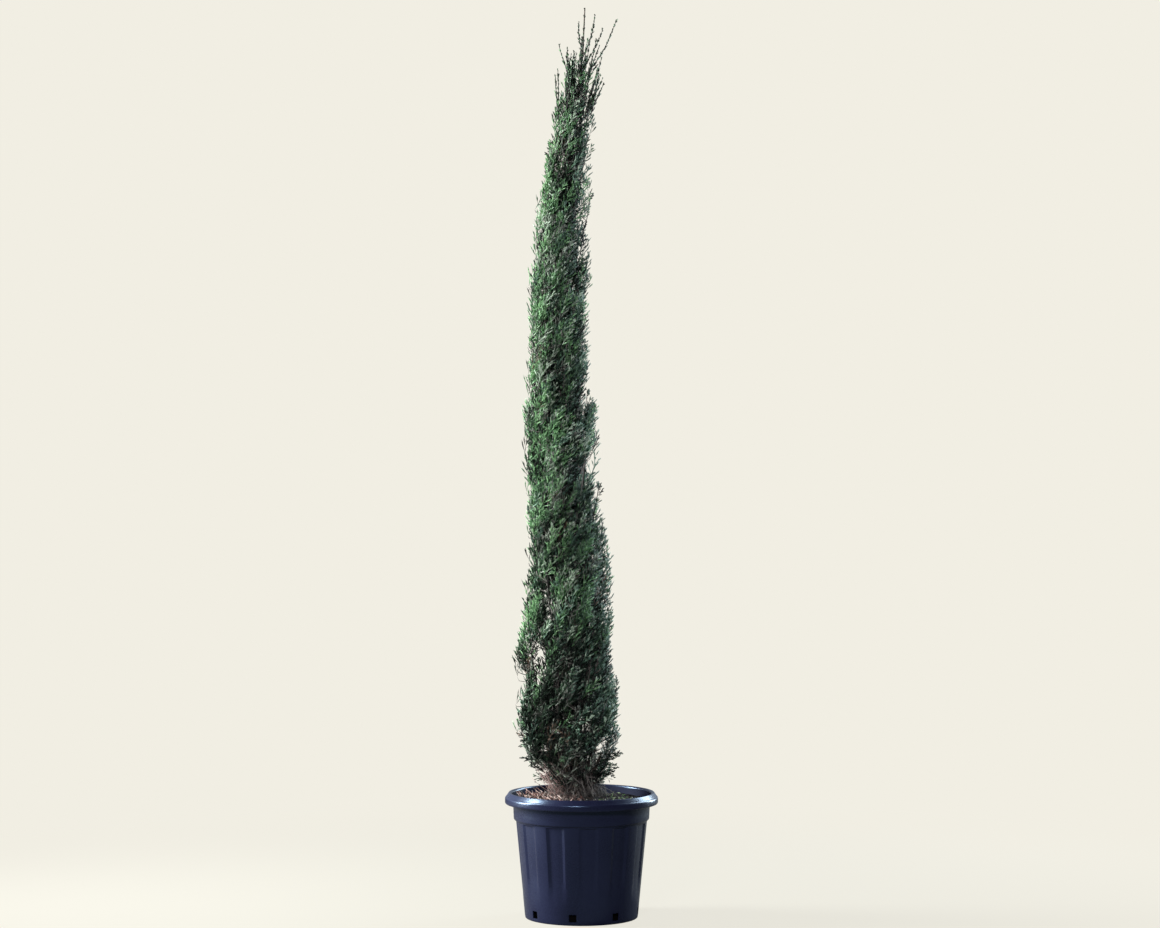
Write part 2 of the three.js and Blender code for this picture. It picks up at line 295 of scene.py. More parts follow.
def makeFloor():
    floor = disc("floor", 96, studio["floorRadius"])
    lit = tuple(studio["floorTone"] * part for part in studio["backdrop"])
    dim = tuple(studio["floorDim"] * part for part in studio["backdrop"])
    material, shader = newMaterial("paleFloor", lit, 0.9, 0.0)
    tree = material.node_tree
    where, path = addNode(tree, "TexCoord"), addNode(tree, "LightPath")
    far = addNode(tree, "VectorMath", operation="LENGTH")
    edge = {"From Min": studio["litRadius"], "From Max": studio["fadeRadius"], "To Min": studio["nearGlow"]}
    fade = addNode(tree, "MapRange", edge, interpolation_type="SMOOTHSTEP")
    # only the camera sees the pale floor, so the pot stays dark
    seen = addNode(tree, "Math", operation="MULTIPLY")
    tone = addNode(tree, "Mix", {6: (*dim, 1), 7: (*lit, 1)}, data_type="RGBA")
    glow = addNode(tree, "Emission", {"Color": (*studio["backdrop"], 1)})
    mix = addNode(tree, "MixShader")
    join(
        tree,
        (path, "Is Camera Ray", tone, "Factor"),
        (tone, 2, shader, "Base Color"),
        (where, "Object", far, 0),
        (far, "Value", fade, "Value"),
        (fade, "Result", seen, 0),
        (path, "Is Camera Ray", seen, 1),
        (seen, 0, mix, "Fac"),
        (shader, "BSDF", mix, 1),
        (glow, "Emission", mix, 2),
        (mix, "Shader", tree.nodes["Material Output"], "Surface"),
    )
    wear(floor, material)


def makeSky():
    # the camera sees the backdrop, and the plant is lit by a dimmer, cooler sky, brightest behind it
    world = bpy.data.worlds.new("studioSky")
    bpy.context.scene.world = world
    world.use_nodes = True
    tree = world.node_tree
    sky = tree.nodes["Background"]
    sky.inputs["Color"].default_value = (*studio["skyColour"], 1)
    seen = addNode(tree, "Background", {"Color": (*studio["backdrop"], 1)})
    where, path = addNode(tree, "TexCoord"), addNode(tree, "LightPath")
    split, mix = addNode(tree, "SeparateXYZ"), addNode(tree, "MixShader")
    span = {"From Min": -0.2, "From Max": 0.9, "To Min": studio["skyFront"], "To Max": studio["skyBack"]}
    rise = addNode(tree, "MapRange", span)
    join(
        tree,
        (where, "Generated", split, 0),
        (split, "Y", rise, "Value"),
        (rise, "Result", sky, "Strength"),
        (path, "Is Camera Ray", mix, "Fac"),
        (sky, "Background", mix, 1),
        (seen, "Background", mix, 2),
        (mix, "Shader", tree.nodes["World Output"], "Surface"),
    )


def makeLamps():
    aim = Vector((0, 0, (cadBox[0].z + cadBox[1].z) / 2))
    for name, lamp in lamps.items():
        bpy.ops.object.light_add(type="AREA", location=lamp["place"])
        light = bpy.context.object
        light.name = name
        light.data.shape = "RECTANGLE"
        light.data.size, light.data.size_y = lamp["size"]
        light.data.energy = lamp["power"]
        light.data.color = lamp["colour"]
        light.rotation_euler = (aim - Vector(lamp["place"])).to_track_quat("-Z", "Y").to_euler()


makeCamera()
makeFloor()
makeSky()
makeLamps()
bpy.context.scene.view_settings.view_transform = "Standard"
print("camera, floor and lights are set")


potSize = {
    "footRadius": 0.1325,
    "footRise": 0.0045,  # the middle of the underside stands this far off the ground
    "footRing": 0.034,
    "sill": 0.0085,
    "windowTop": 0.0260,
    "fluteFoot": 0.045,
    "fluteFull": 0.105,  # the flutes fade out from here down
    "fluteTop": 0.2268,
    "shoulderRadius": 0.1545,
    "shoulder": 0.2295,
    "stepOut": 0.0048,
    "neckTop": 0.258,
    "neckTopRadius": 0.1605,
    "mouthRadius": 0.1668,
    "rimDrop": 0.0235,
    "wall": 0.0026,
    "heelRound": 0.003,
    "lipRound": 0.0022,
    "brimRound": 0.0038,
    "hemRound": 0.0012,
    "edgeRound": 0.0005,
    "around": 144,
    "flutes": 12,
    "fluteDepth": 0.0034,
    "windows": 8,
    "firstWindow": -98.8,
    "wallFrom": 0.12,  # what is further out than this belongs to the wall
}
potFinish = {
    "blackPlastic": {
        "dark": (0.0080, 0.0084, 0.0235),
        "light": (0.0118, 0.0130, 0.0365),
        "roughness": 0.22,
        "duller": 0.12,
        "coarse": 9,
        "fine": 900,
        "contrast": 1.2,
        "bump": 0.00005,
    },
    # darker than the outer plastic as painted shade inside the pot, and rougher, as if scuffed
    "scuffedAndShadedInside": {
        "dark": (0.0050, 0.0070, 0.0200),
        "light": (0.0100, 0.0130, 0.0350),
        "roughness": 0.70,
        "duller": 0.15,
        "coarse": 12,
        "fine": 700,
        "contrast": 1.6,
        "bump": 0.0001,
    },
}
potGloss = {
    "IOR": 1.5,
    "Specular Tint": (0.40, 0.64, 1.0, 1),
    "Coat Weight": 0.05,
    "Coat Roughness": 0.12,
}


def arc(centre, radius, first, last, steps):
    return [
        (centre[0] + radius * math.cos(math.radians(a)), centre[1] + radius * math.sin(math.radians(a)))
        for a in np.linspace(first, last, steps)
    ]


def potOutline():
    # one sheet from the middle of the underside, up the wall's outer face and over the rim's inside
    size = potSize
    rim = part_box("pot")[1]
    lipOut, lipTop = rim.x - size["wall"], rim.z - size["wall"]  # the wall's thickness comes outside these
    foot, ring, heel = size["footRadius"], size["footRing"], size["heelRound"]
    slope = (size["shoulderRadius"] - foot) / size["shoulder"]

    def wallAt(*heights):
        return [(foot + slope * z, z) for z in heights]

    outline = [(0.0, size["footRise"]), (foot - ring - 0.006, size["footRise"]), (foot - ring, 0.0)]
    outline += arc((foot - heel, heel), heel, -90, 0, 4)
    sill, windowTop, fluteTop = size["sill"], size["windowTop"], size["fluteTop"]
    outline += wallAt(sill, (sill + windowTop) / 2, windowTop, 0.035)
    outline += wallAt(*np.linspace(size["fluteFoot"], fluteTop - 0.005, 14))
    outline += wallAt(fluteTop - 0.002, fluteTop, size["shoulder"])
    (edge, level), step = outline[-1], size["stepOut"]
    outline += [(edge + step * 0.7, level + 0.0012), (edge + step, level + 0.0035)]
    neck, neckTop, mouth = size["neckTopRadius"], size["neckTop"], size["mouthRadius"]
    outline += [(neck - 0.0005, neckTop - 0.012), (neck, neckTop)]
    outline += [(blendOf(neck, mouth, 0.45), neckTop + 0.012), (mouth, lipTop - 0.009)]
    lip, brim, hem = size["lipRound"], size["brimRound"], size["hemRound"]
    outline += arc((mouth + lip, lipTop - lip), lip, 180, 70, 5)
    outline += arc((lipOut - brim, lipTop - 0.0118), brim, 66, 0, 6)
    outline += [(lipOut, lipTop - 0.0172)]
    outline += arc((lipOut - hem, rim.z - size["rimDrop"] + hem), hem, 0, -80, 4)
    return outline


def spunShell(name, outline, steps):
    # a single corner is drawn out along the outline, and the line is spun round the upright axis
    clearSelection()
    bpy.ops.mesh.primitive_plane_add(size=0.01, location=(0, 0, 0))
    shell = bpy.context.object
    shell.name = name
    editAll()
    bpy.ops.mesh.merge(type="CENTER")
    bpy.ops.transform.translate(value=(outline[0][0], 0, outline[0][1]))
    for (r0, z0), (r1, z1) in zip(outline, outline[1:]):
        bpy.ops.mesh.extrude_region_move(TRANSFORM_OT_translate={"value": (r1 - r0, 0, z1 - z0)})
    bpy.ops.mesh.select_all(action="SELECT")
    bpy.ops.mesh.spin(steps=steps, angle=fullTurn, center=(0, 0, 0), axis=(0, 0, 1))
    bpy.ops.mesh.select_all(action="SELECT")
    bpy.ops.mesh.remove_doubles(threshold=1e-5)
    bpy.ops.mesh.normals_make_consistent(inside=False)
    return shell


def turnOf(spot):
    return math.atan2(spot.y, spot.x) % fullTurn


def makePot():
    size = potSize
    outline = potOutline()
    pot = spunShell("nursery_pot", outline, size["around"])
    column = fullTurn / size["around"]
    perFlute = size["around"] // size["flutes"]
    spacing = 360 / size["windows"]

    def inFlute(spot):
        return round(turnOf(spot) / column) % perFlute < perFlute // 2 and spot.xy.length > size["wallFrom"]

    def inWindow(spot):
        turned = math.degrees(turnOf(spot)) - size["firstWindow"]
        offset = (turned + spacing / 2) % spacing - spacing / 2
        level = size["sill"] - 0.0005 < spot.z < size["windowTop"] + 0.0005
        return level and abs(offset) < 1.6 * math.degrees(column) and spot.xy.length > size["wallFrom"]

    for level in [z for _, z in outline if size["fluteFoot"] < z < size["fluteTop"] - 0.0001]:
        selectWhere(pot, "VERT", lambda spot: abs(spot.z - level) < 1e-4 and inFlute(spot))
        share = min(1.0, (level - size["fluteFoot"]) / (size["fluteFull"] - size["fluteFoot"])) ** 0.8
        narrower = 1 - size["fluteDepth"] * share / size["shoulderRadius"]
        bpy.ops.transform.resize(value=(narrower, narrower, 1), center_override=(0, 0, 0))
    selectWhere(pot, "FACE", inWindow)
    bpy.ops.mesh.delete(type="FACE")
    bpy.ops.object.mode_set(mode="OBJECT")
    wall = pot.modifiers.new("wall", "SOLIDIFY")
    wall.thickness = size["wall"]
    wall.offset = 1
    wall.use_even_offset = True
    applyAll(pot)
    editAll()
    closeEdit()
    edges = pot.modifiers.new("edges", "BEVEL")
    edges.width = size["edgeRound"]
    edges.segments = 2
    edges.limit_method = "ANGLE"
    edges.angle_limit = math.radians(21)
    applyAll(pot)
    bpy.ops.object.shade_smooth_by_angle(angle=math.radians(24))
    plastic, shader = mottled("blackPlastic", potFinish["blackPlastic"])
    for title, value in potGloss.items():
        shader.inputs[title].default_value = value
    # the inside of the wall gets a darker colour as painted shade inside the pot; it is also rougher, as if
    # scuffed, and less glossy
    inside, shader = mottled("scuffedAndShadedInside", potFinish["scuffedAndShadedInside"])
    shader.inputs["Specular IOR Level"].default_value = 0.10
    wear(pot, plastic, inside)
    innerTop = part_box("pot")[1].z - 0.004
    for polygon in pot.data.polygons:
        centre, way = polygon.center, polygon.normal
        inward = centre.x * way.x + centre.y * way.y < -0.3 * centre.xy.length
        if inward and centre.z < innerTop:
            polygon.material_index = 1
    place(pot, "pot", "pot")


makePot()
print("pot is made")


soilLook = {
    "seed": 5,
    "sides": 96,
    "rings": 30,
    "footRadius": 0.125,
    "lumps": 0.0030,
    "moundDrop": 0.0075,  # how much lower the soil lies by the wall
    "sunk": 0.002,
    "margin": 0.006,
}
soilFinish = {
    "dark": (0.005, 0.0045, 0.0045),
    "light": (0.022, 0.018, 0.016),
    "roughness": 0.95,
    "coarse": 90,
    "fine": 700,
    "contrast": 2.6,
    "bump": 0.0012,
}

# what lies on the soil; each patch is a middle x and y and a spread, and without patches it lies everywhere
soilCover = {
    "soil_crumbs": {
        "count": 1500,
        "sizes": (0.0012, 0.0042),
        "seed": 11,
        "tones": {
            "peat": (0.006, 0.005, 0.005),
            "barkChip": (0.034, 0.025, 0.021),
            "loam": (0.015, 0.012, 0.011),
        },
    },
    "perlite_grains": {
        "count": 46,
        "sizes": (0.0012, 0.0026),
        "seed": 12,
        "lift": 0.0015,
        "patches": [(0.03, -0.10, 0.02), (0.065, -0.075, 0.02), (0.0, 0.0, 0.09)],
        "tones": {"perlite": (0.62, 0.60, 0.55), "perliteGrey": (0.40, 0.39, 0.36)},
    },
    "green_bits": {
        "count": 90,
        "sizes": (0.0014, 0.0042),
        "seed": 13,
        "patches": [(0.062, -0.060, 0.016), (0.085, -0.02, 0.02), (0.075, 0.07, 0.03)],
        "tones": {"mossBit": (0.085, 0.180, 0.055), "paleSprig": (0.36, 0.46, 0.24)},
    },
}
dryFlecks = {  # dry scale leaves, thickest on the left
    "count": 600,
    "lift": 0.0015,
    "length": (0.008, 0.027),
    "thickness": (0.0008, 0.0017),
    "patches": [
        (-0.105, -0.03, 0.028),
        (-0.118, 0.03, 0.026),
        (-0.080, -0.075, 0.028),
        (-0.05, -0.10, 0.03),
        (-0.07, 0.09, 0.05),
    ],
    "tones": {
        "dryFleck": (0.265, 0.170, 0.148),
        "dryRed": (0.170, 0.085, 0.070),
        "dryPale": (0.440, 0.360, 0.330),
        "dryDark": (0.030, 0.022, 0.020),
    },
    "chances": (0.18, 0.22, 0.14, 0.46),
}


def soilHeight(x, y):
    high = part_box("soil")[1]
    out = min(math.hypot(x, y) / high.x, 1.0)
    mound = blendOf(high.z, high.z - soilLook["moundDrop"], out**1.5)
    rough = noise.noise(Vector((x * 26, y * 26, 0.3))) + 0.5 * noise.noise(Vector((x * 75, y * 75, 4.1)))
    return mound + soilLook["lumps"] * rough - soilLook["sunk"]


def makeSoil():
    low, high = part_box("soil")
    soil = disc("potting_soil", soilLook["sides"], soilLook["footRadius"], low.z)
    editAll()
    rise = high.z - low.z - soilLook["margin"]
    wider = (high.x + 0.0015) / soilLook["footRadius"]
    bpy.ops.mesh.extrude_region_move(TRANSFORM_OT_translate={"value": (0, 0, rise)})
    bpy.ops.transform.resize(value=(wider, wider, 1), center_override=(0, 0, low.z + rise))
    step = high.x / (soilLook["rings"] + 1)
    for _ in range(soilLook["rings"]):
        bpy.ops.mesh.inset(thickness=step, depth=0)
    bpy.ops.mesh.poke()
    closeEdit()
    top = low.z + rise - 1e-4
    for vert in soil.data.vertices:
        if vert.co.z > top:
            vert.co.z = soilHeight(vert.co.x, vert.co.y)
    # the soil's sides, seen through the pot's windows, are near black: painted shade of the pot's inside
    shadedSoilSide, _ = newMaterial("shadedSoilSide", (0.004, 0.0035, 0.0035), 1.0, 0.0)
    wear(soil, mottled("pottingMix", soilFinish)[0], shadedSoilSide)
    for polygon in soil.data.polygons:
        if polygon.center.z < top - 0.002:
            polygon.material_index = 1
    place(soil, "soil", "soil")


# an irregular crumb: an eight-sided lump whose corners are pushed about
lumpPoints = np.array([(1, 0, 0), (-1, 0, 0), (0, 1, 0), (0, -1, 0), (0, 0, 1), (0, 0, -1)], float)
lumpFaces = np.array([(0, 2, 4), (2, 1, 4), (1, 3, 4), (3, 0, 4), (2, 0, 5), (1, 2, 5), (3, 1, 5), (0, 3, 5)])


def copiesOf(pattern, count, corners):
    # the faces of many like shapes, each with its own corners
    return (np.arange(count)[:, None, None] * corners + np.array(pattern)).reshape(-1, 3)


def scatterSpots(dice, look, reach):
    found = []
    while len(found) < look["count"]:
        if "patches" in look:
            x0, y0, spread = dice.choice(look["patches"])
            x, y = dice.gauss(x0, spread), dice.gauss(y0, spread)
        else:
            radius, angle = reach * math.sqrt(dice.random()), dice.uniform(0, fullTurn)
            x, y = radius * math.cos(angle), radius * math.sin(angle)
        if math.hypot(x, y) < reach:
            found.append((x, y, soilHeight(x, y)))
    return np.array(found) + np.array([0, 0, look.get("lift", 0)])


def scatterLumps(name, places, sizes, look):
    rng = np.random.default_rng(look["seed"])
    count = len(places)
    shape = lumpPoints[None] * rng.uniform(0.6, 1.25, (count, 6, 1)) + rng.normal(0, 0.16, (count, 6, 3))
    shape[:, :, 2] *= 0.7
    turn = rng.uniform(0, fullTurn, count)
    flat = np.stack([np.cos(turn), -np.sin(turn), np.sin(turn), np.cos(turn)], 1).reshape(-1, 2, 2)
    shape[:, :, :2] = np.einsum("nij,nkj->nki", flat, shape[:, :, :2])
    points = places[:, None] + shape * sizes[:, None, None]
    shades = rng.integers(0, len(look["tones"]), count)
    faces = copiesOf(lumpFaces, count, 6)
    place(meshOf(name, points.reshape(-1, 3), faces, shades, plains(look["tones"])), "soil")


def helperFor(directions, limit):
    # an axis that lies well away from each direction
    flat = np.abs(directions[:, :1]) > limit
    return np.where(flat, np.array([[0.0, 1.0, 0.0]]), np.array([[1.0, 0.0, 0.0]]))


def spindles(starts, ends, radii, widest=0.42):
    # slim closed slivers, three-sided at their widest, each from its start to its end
    along = ends - starts
    direction = unit(along)
    side = unit(np.cross(direction, helperFor(direction, 0.8)))
    other = np.cross(direction, side)
    middle = starts + along * widest
    ring = [
        middle + radii[:, None] * (side * math.cos(a) + other * math.sin(a))
        for a in (0.4, 0.4 + fullTurn / 3, 0.4 + 2 * fullTurn / 3)
    ]
    points = np.stack([starts, *ring, ends], axis=1).reshape(-1, 3)
    pattern = [(2, 1, 0), (3, 2, 0), (1, 3, 0), (1, 2, 4), (2, 3, 4), (3, 1, 4)]
    return points, copiesOf(pattern, len(starts), 5)


def tubes(paths, radii, sides=3):
    # closed tubes along many paths at once: paths is (tubes, stations, 3)
    count, stations = paths.shape[:2]
    direction = unit(np.gradient(paths, axis=1))
    helper = helperFor(unit(paths[:, -1] - paths[:, 0]), 0.7)
    side = unit(np.cross(direction, helper[:, None]))
    other = np.cross(direction, side)
    angles = np.arange(sides) * fullTurn / sides
    ring = side[:, :, None] * np.cos(angles)[:, None] + other[:, :, None] * np.sin(angles)[:, None]
    points = paths[:, :, None] + ring * radii[:, :, None, None]
    faces = []
    for s in range(stations - 1):
        for k in range(sides):
            a, b = s * sides + k, s * sides + (k + 1) % sides
            faces += [(a, b, b + sides), (a, b + sides, a + sides)]
    last = (stations - 1) * sides
    faces += [(0, k + 1, k) for k in range(1, sides - 1)]
    faces += [(last, last + k, last + k + 1) for k in range(1, sides - 1)]
    return points.reshape(-1, 3), copiesOf(faces, count, stations * sides)


def makeSoilCover():
    dice = random.Random(soilLook["seed"])
    rng = np.random.default_rng(soilLook["seed"])
    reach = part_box("soil")[1].x - soilLook["margin"]
    for name, look in soilCover.items():
        spots = scatterSpots(dice, look, reach)
        scatterLumps(name, spots, rng.uniform(*look["sizes"], len(spots)), look)
    look = dryFlecks
    spots = scatterSpots(dice, look, reach)
    count = len(spots)
    turn, lift = rng.uniform(0, fullTurn, count), rng.uniform(-0.1, 0.9, count)
    heading = np.stack([np.cos(turn), np.sin(turn), lift], 1) * rng.uniform(*look["length"], (count, 1))
    points, faces = spindles(spots, spots + heading, rng.uniform(*look["thickness"], count))
    shades = rng.choice(4, count, p=look["chances"])
    place(meshOf("dry_flecks", points, faces, shades, plains(look["tones"])), "dry_foliage")


makeSoil()
makeSoilCover()
print("soil is made")


def ringsOf(name):
    # centre and radius of each level ring of the trunk, from its foot up
    corners = np.unique(np.round(cornersOf(name), 5), axis=0)
    levels = np.unique(corners[:, 2])
    rings = [corners[corners[:, 2] == level] for level in levels]
    centres = np.array([ring.mean(0) for ring in rings])
    radii = np.array([np.linalg.norm(ring[:, :2] - c[:2], axis=1).max() for ring, c in zip(rings, centres)])
    return centres, radii


def limbLine(name, pieces):
    # centre line and radius of a slanting limb, from the slices between its foot and its tip
    corners = np.unique(np.round(cornersOf(name), 5), axis=0)
    low, high = corners[corners[:, 2].argmin()], corners[corners[:, 2].argmax()]
    share = (corners - low) @ (high - low) / ((high - low) @ (high - low))
    cuts = np.linspace(share.min(), share.max() + 1e-6, pieces + 1)
    line, radii = [], []
    for a, b in zip(cuts, cuts[1:]):
        part = corners[(share >= a) & (share < b)]
        if len(part) > 2:
            line.append(part.mean(0))
            radii.append(np.linalg.norm(part - part.mean(0), axis=1).mean())
    return np.array(line), np.array(radii)


stemLine, stemRadii = ringsOf("trunk")


def stemAt(z):
    aside = [np.interp(z, stemLine[:, 2], stemLine[:, k]) for k in (0, 1)]
    return np.stack(aside + [np.asarray(z, float)], axis=-1)


def alongLine(at, marks, line):
    return np.stack([np.interp(at, marks, line[:, k]) for k in range(3)], 1)


def smoothLine(line, stations, rounds=2):
    path = alongLine(np.linspace(0, 1, stations), np.linspace(0, 1, len(line)), line)
    for _ in range(rounds):  # rounds the corners of the line
        path[1:-1] = (path[:-2] + 2 * path[1:-1] + path[2:]) / 4
    return path


def cubicCurves(starts, elbows, shoulders, ends, stations):
    # from each start to each end, drawn towards the two points between
    a, b, c, d = (spot[..., None, :] for spot in (starts, elbows, shoulders, ends))
    t = np.linspace(0, 1, stations)[:, None]
    return (1 - t) ** 3 * a + 3 * (1 - t) ** 2 * t * b + 3 * (1 - t) * t * t * c + t**3 * d


def archedCurves(starts, knees, ends, stations):
    a, b, c = (spot[..., None, :] for spot in (starts, knees, ends))
    t = np.linspace(0, 1, stations)[:, None]
    return (1 - t) ** 2 * a + 2 * (1 - t) * t * b + t * t * c


def stemRadiusAt(z):
    return np.interp(z, stemLine[:, 2], stemRadii)


trunkLook = {
    "sides": 64,
    "ringGap": 0.007,
    "ridges": 17,
    "ridgeHeight": 0.0011,
    "knobs": 0.0016,
    "lobes": 0.1,  # the root flare's five lobes, which fade out at lobeTop above the soil
    "lobeTop": 0.06,
    "boughs": 8,
    "boughSides": 20,
    "boughStations": 26,
    "boughTip": 0.0022,
}
barkFinish = {
    "dark": (0.020, 0.015, 0.012),
    "light": (0.082, 0.064, 0.051),
    "roughness": 0.88,
    "coarse": 60,
    "fine": 420,
    "contrast": 2.4,
    "bump": 0.0010,
    "stretch": (1, 1, 0.16),
}


def barkRelief(spot, angle, radius):
    # fibrous strips that run up the stem and wander, with shallow swellings
    wander = 1.6 * noise.noise(Vector((spot[0] * 9, spot[1] * 9, spot[2] * 5)))
    strip = math.sin(trunkLook["ridges"] * angle + 3.2 * wander + spot[2] * 6)
    torn = noise.noise(Vector((math.cos(angle) * 9, math.sin(angle) * 9, spot[2] * 46)))
    swell = noise.noise(Vector((math.cos(angle) * 1.7, math.sin(angle) * 1.7, spot[2] * 13 + 7)))
    ridge = trunkLook["ridgeHeight"] * (abs(strip) ** 0.6 * 1.3 - 0.8 + 0.9 * torn)
    return min(1.0, radius / 0.02) * (ridge + trunkLook["knobs"] * swell)


def makeTrunk():
    look = trunkLook
    foot, tip = stemLine[0][2], stemLine[-1][2]
    trunk = disc("trunk_and_boughs", look["sides"], 1)
    editAll()
    count = int((tip - foot) / look["ringGap"])
    for _ in range(count):
        bpy.ops.mesh.extrude_region_move(TRANSFORM_OT_translate={"value": (0, 0, 1)})
    closeEdit()
    for vert in trunk.data.vertices:
        z = blendOf(foot, tip, vert.co.z / count)
        angle = math.atan2(vert.co.y, vert.co.x)
        radius = float(stemRadiusAt(z))
        lobes = 1 + look["lobes"] * math.cos(5 * angle + 0.6) * max(0.0, 1 - (z - foot) / look["lobeTop"])
        reach = radius * lobes * 0.93 + barkRelief((vert.co.x * radius, vert.co.y * radius, z), angle, radius)
        centre = stemAt(z)
        vert.co = (centre[0] + vert.co.x * reach, centre[1] + vert.co.y * reach, z)
    return trunk


def makeBough(name):
    sides, stations = trunkLook["boughSides"], trunkLook["boughStations"]
    line, radii = limbLine(name, 5)
    line = np.vstack([stemAt(line[0][2] - 0.012), line])
    radii = np.concatenate([[radii[0] * 1.7], radii * 0.9])
    radii[-1] = trunkLook["boughTip"]
    path = smoothLine(line, stations, 3)
    wide = np.interp(np.linspace(0, 1, stations), np.linspace(0, 1, len(line)), radii)
    points, faces = tubes(path[None], wide[None], sides)
    angle = np.tile(np.arange(sides) * fullTurn / sides, stations)
    centres = np.repeat(path, sides, axis=0)
    push = np.array([1 + barkRelief(p, a, 0.02) / 0.02 for p, a in zip(points, angle)])
    points = centres + (points - centres) * push[:, None]
    return meshOf(name + "_bark", points, faces, [0], [])


def makeWoodyParts():
    names = [f"bough_{i + 1}" for i in range(trunkLook["boughs"])]
    trunk = makeTrunk()
    boughs = [makeBough(name) for name in names]
    pick(trunk)
    for bough in boughs:
        bough.select_set(True)
    bpy.ops.object.join()
    bpy.ops.object.shade_smooth_by_angle(angle=math.radians(60))
    wear(trunk, mottled("cypressBark", barkFinish)[0])
    place(trunk, "bark", "trunk", *names)


makeWoodyParts()
print("trunk and boughs are made")


crownGrowth = {
    "seed": 20,
    "rows": 8,
    "sprays": 5150,
    "limbs": 200,
    "limbStations": 12,
    "limbLength": (0.17, 0.36),
    "topThinning": 0.18,
    "openShare": 0.75,  # limbs left out where they would cross an open place
    "limbLag": 0.55,  # radians that a limb's foot lags behind its tip, as the growth spirals
    "kinds": 20,
    "branchlets": 9,
    "sprayLength": (0.044, 0.078),
    "deepShare": 0.36,  # sprays that sit deeper in the crown
    "deepReach": 0.050,
    "skin": (0.001, 0.012),
    "groove": 0.022,  # how far the dark streaks between plumes are sunk
    "lowest": 0.325,
    "outward": (0.04, 0.40),
    "swirl": (0.10, 0.62),
    "lean": 0.10,  # the whole crown's growth leans this much towards +X
    "scatter": 0.13,
    "footSprays": 780,  # short dark sprays on the limbs near the foot
    "footBand": (0.300, 0.47),
    "footLength": (0.020, 0.046),
    "spraysPerSprig": 18,
    "sprigSpray": (0.012, 0.025),
    "longestTwig": 0.056,  # a spray that stands further than this from any limb is left out
    "evenness": 1.05,  # on the left no spray stands further out than this times its neighbours
    "leafRadius": (0.00112, 0.00152),
    "twigRadius": (0.0010, 0.0015),
    "twigShades": (0.36, 0.28, 0.36),
    "limbShades": (0.35, 0.10, 0.55),
}


def ellipses(*rows):
    # places in the crown seen from the front, each an upright ellipse
    titles = ("x", "z", "halfX", "halfZ", "keep", "front")
    return [dict(zip(titles, row)) for row in rows]


# thin places: middle x and z, half sizes and the share of sprays kept there
# those marked True only thin the near side, so the inside shows
thinPlaces = ellipses(
    (-0.098, 0.590, 0.013, 0.042, 0.10),
    (-0.119, 0.662, 0.013, 0.034, 0.40),
    (-0.076, 0.722, 0.007, 0.020, 0.05),
    (-0.128, 0.548, 0.012, 0.010, 0.10),
    (-0.166, 0.690, 0.026, 0.100, 0.12),
    (-0.172, 0.468, 0.026, 0.056, 0.05),
    (-0.084, 0.455, 0.009, 0.013, 0.25),
    (-0.086, 0.395, 0.011, 0.012, 0.05),
    (-0.090, 0.348, 0.022, 0.013, 0.06),
    (-0.037, 0.452, 0.006, 0.016, 0.00),
    (0.001, 0.450, 0.005, 0.012, 0.00),
    (0.016, 0.459, 0.005, 0.014, 0.00),
    (0.044, 0.408, 0.007, 0.020, 0.00),
    (0.030, 0.364, 0.009, 0.011, 0.15),
    (0.068, 0.362, 0.014, 0.018, 0.25),
    (0.016, 1.070, 0.006, 0.024, 0.00),
    (0.035, 0.962, 0.010, 0.030, 0.10),
    (0.006, 1.207, 0.010, 0.024, 0.30),
    (0.020, 0.858, 0.007, 0.020, 0.10),
    (-0.083, 0.776, 0.008, 0.022, 0.20),
    (0.012, 1.830, 0.024, 0.110, 0.48),
    (0.010, 1.660, 0.022, 0.090, 0.45),
    (-0.010, 1.975, 0.034, 0.050, 0.40),
    (-0.045, 1.771, 0.005, 0.020, 0.10),
    (-0.036, 0.395, 0.022, 0.060, 0.45, True),
    (0.010, 0.365, 0.024, 0.030, 0.40, True),
    (-0.048, 0.578, 0.013, 0.016, 0.25, True),
    (-0.033, 1.007, 0.012, 0.021, 0.20, True),
)

# dead sprays that still hang on, in the same terms
dryPlaces = ellipses(
    (-0.034, 1.835, 0.009, 0.040),
    (-0.098, 1.350, 0.012, 0.018),
    (-0.045, 0.420, 0.030, 0.060),
)

# thin limbs that hang out over the rim: where each one ends, and the foliage that it belongs to
lowLimbTips = [
    ((-0.110, -0.015, 0.425), "tuft_1_left"),
    ((-0.103, -0.030, 0.385), "tuft_1_left"),
    ((-0.092, -0.040, 0.350), "tuft_1_left"),
    ((0.060, -0.030, 0.380), "tuft_1_right"),
    ((0.050, -0.045, 0.345), "tuft_1_right"),
]

# loose leafy sprigs that stand off the crown's side, in the same terms
looseSprigs = [
    ((0.040, -0.020, 1.012), "tuft_4_right"),
    ((0.033, -0.035, 0.975), "tuft_4_right"),
    ((0.014, -0.010, 1.236), "tuft_5_right"),
    ((0.016, 0.015, 1.205), "tuft_5_right"),
    ((0.020, -0.010, 1.688), "tuft_7_right"),
    ((-0.074, -0.010, 1.815), "tuft_8_left"),
    ((0.082, -0.010, 0.545), "tuft_2_right"),
]

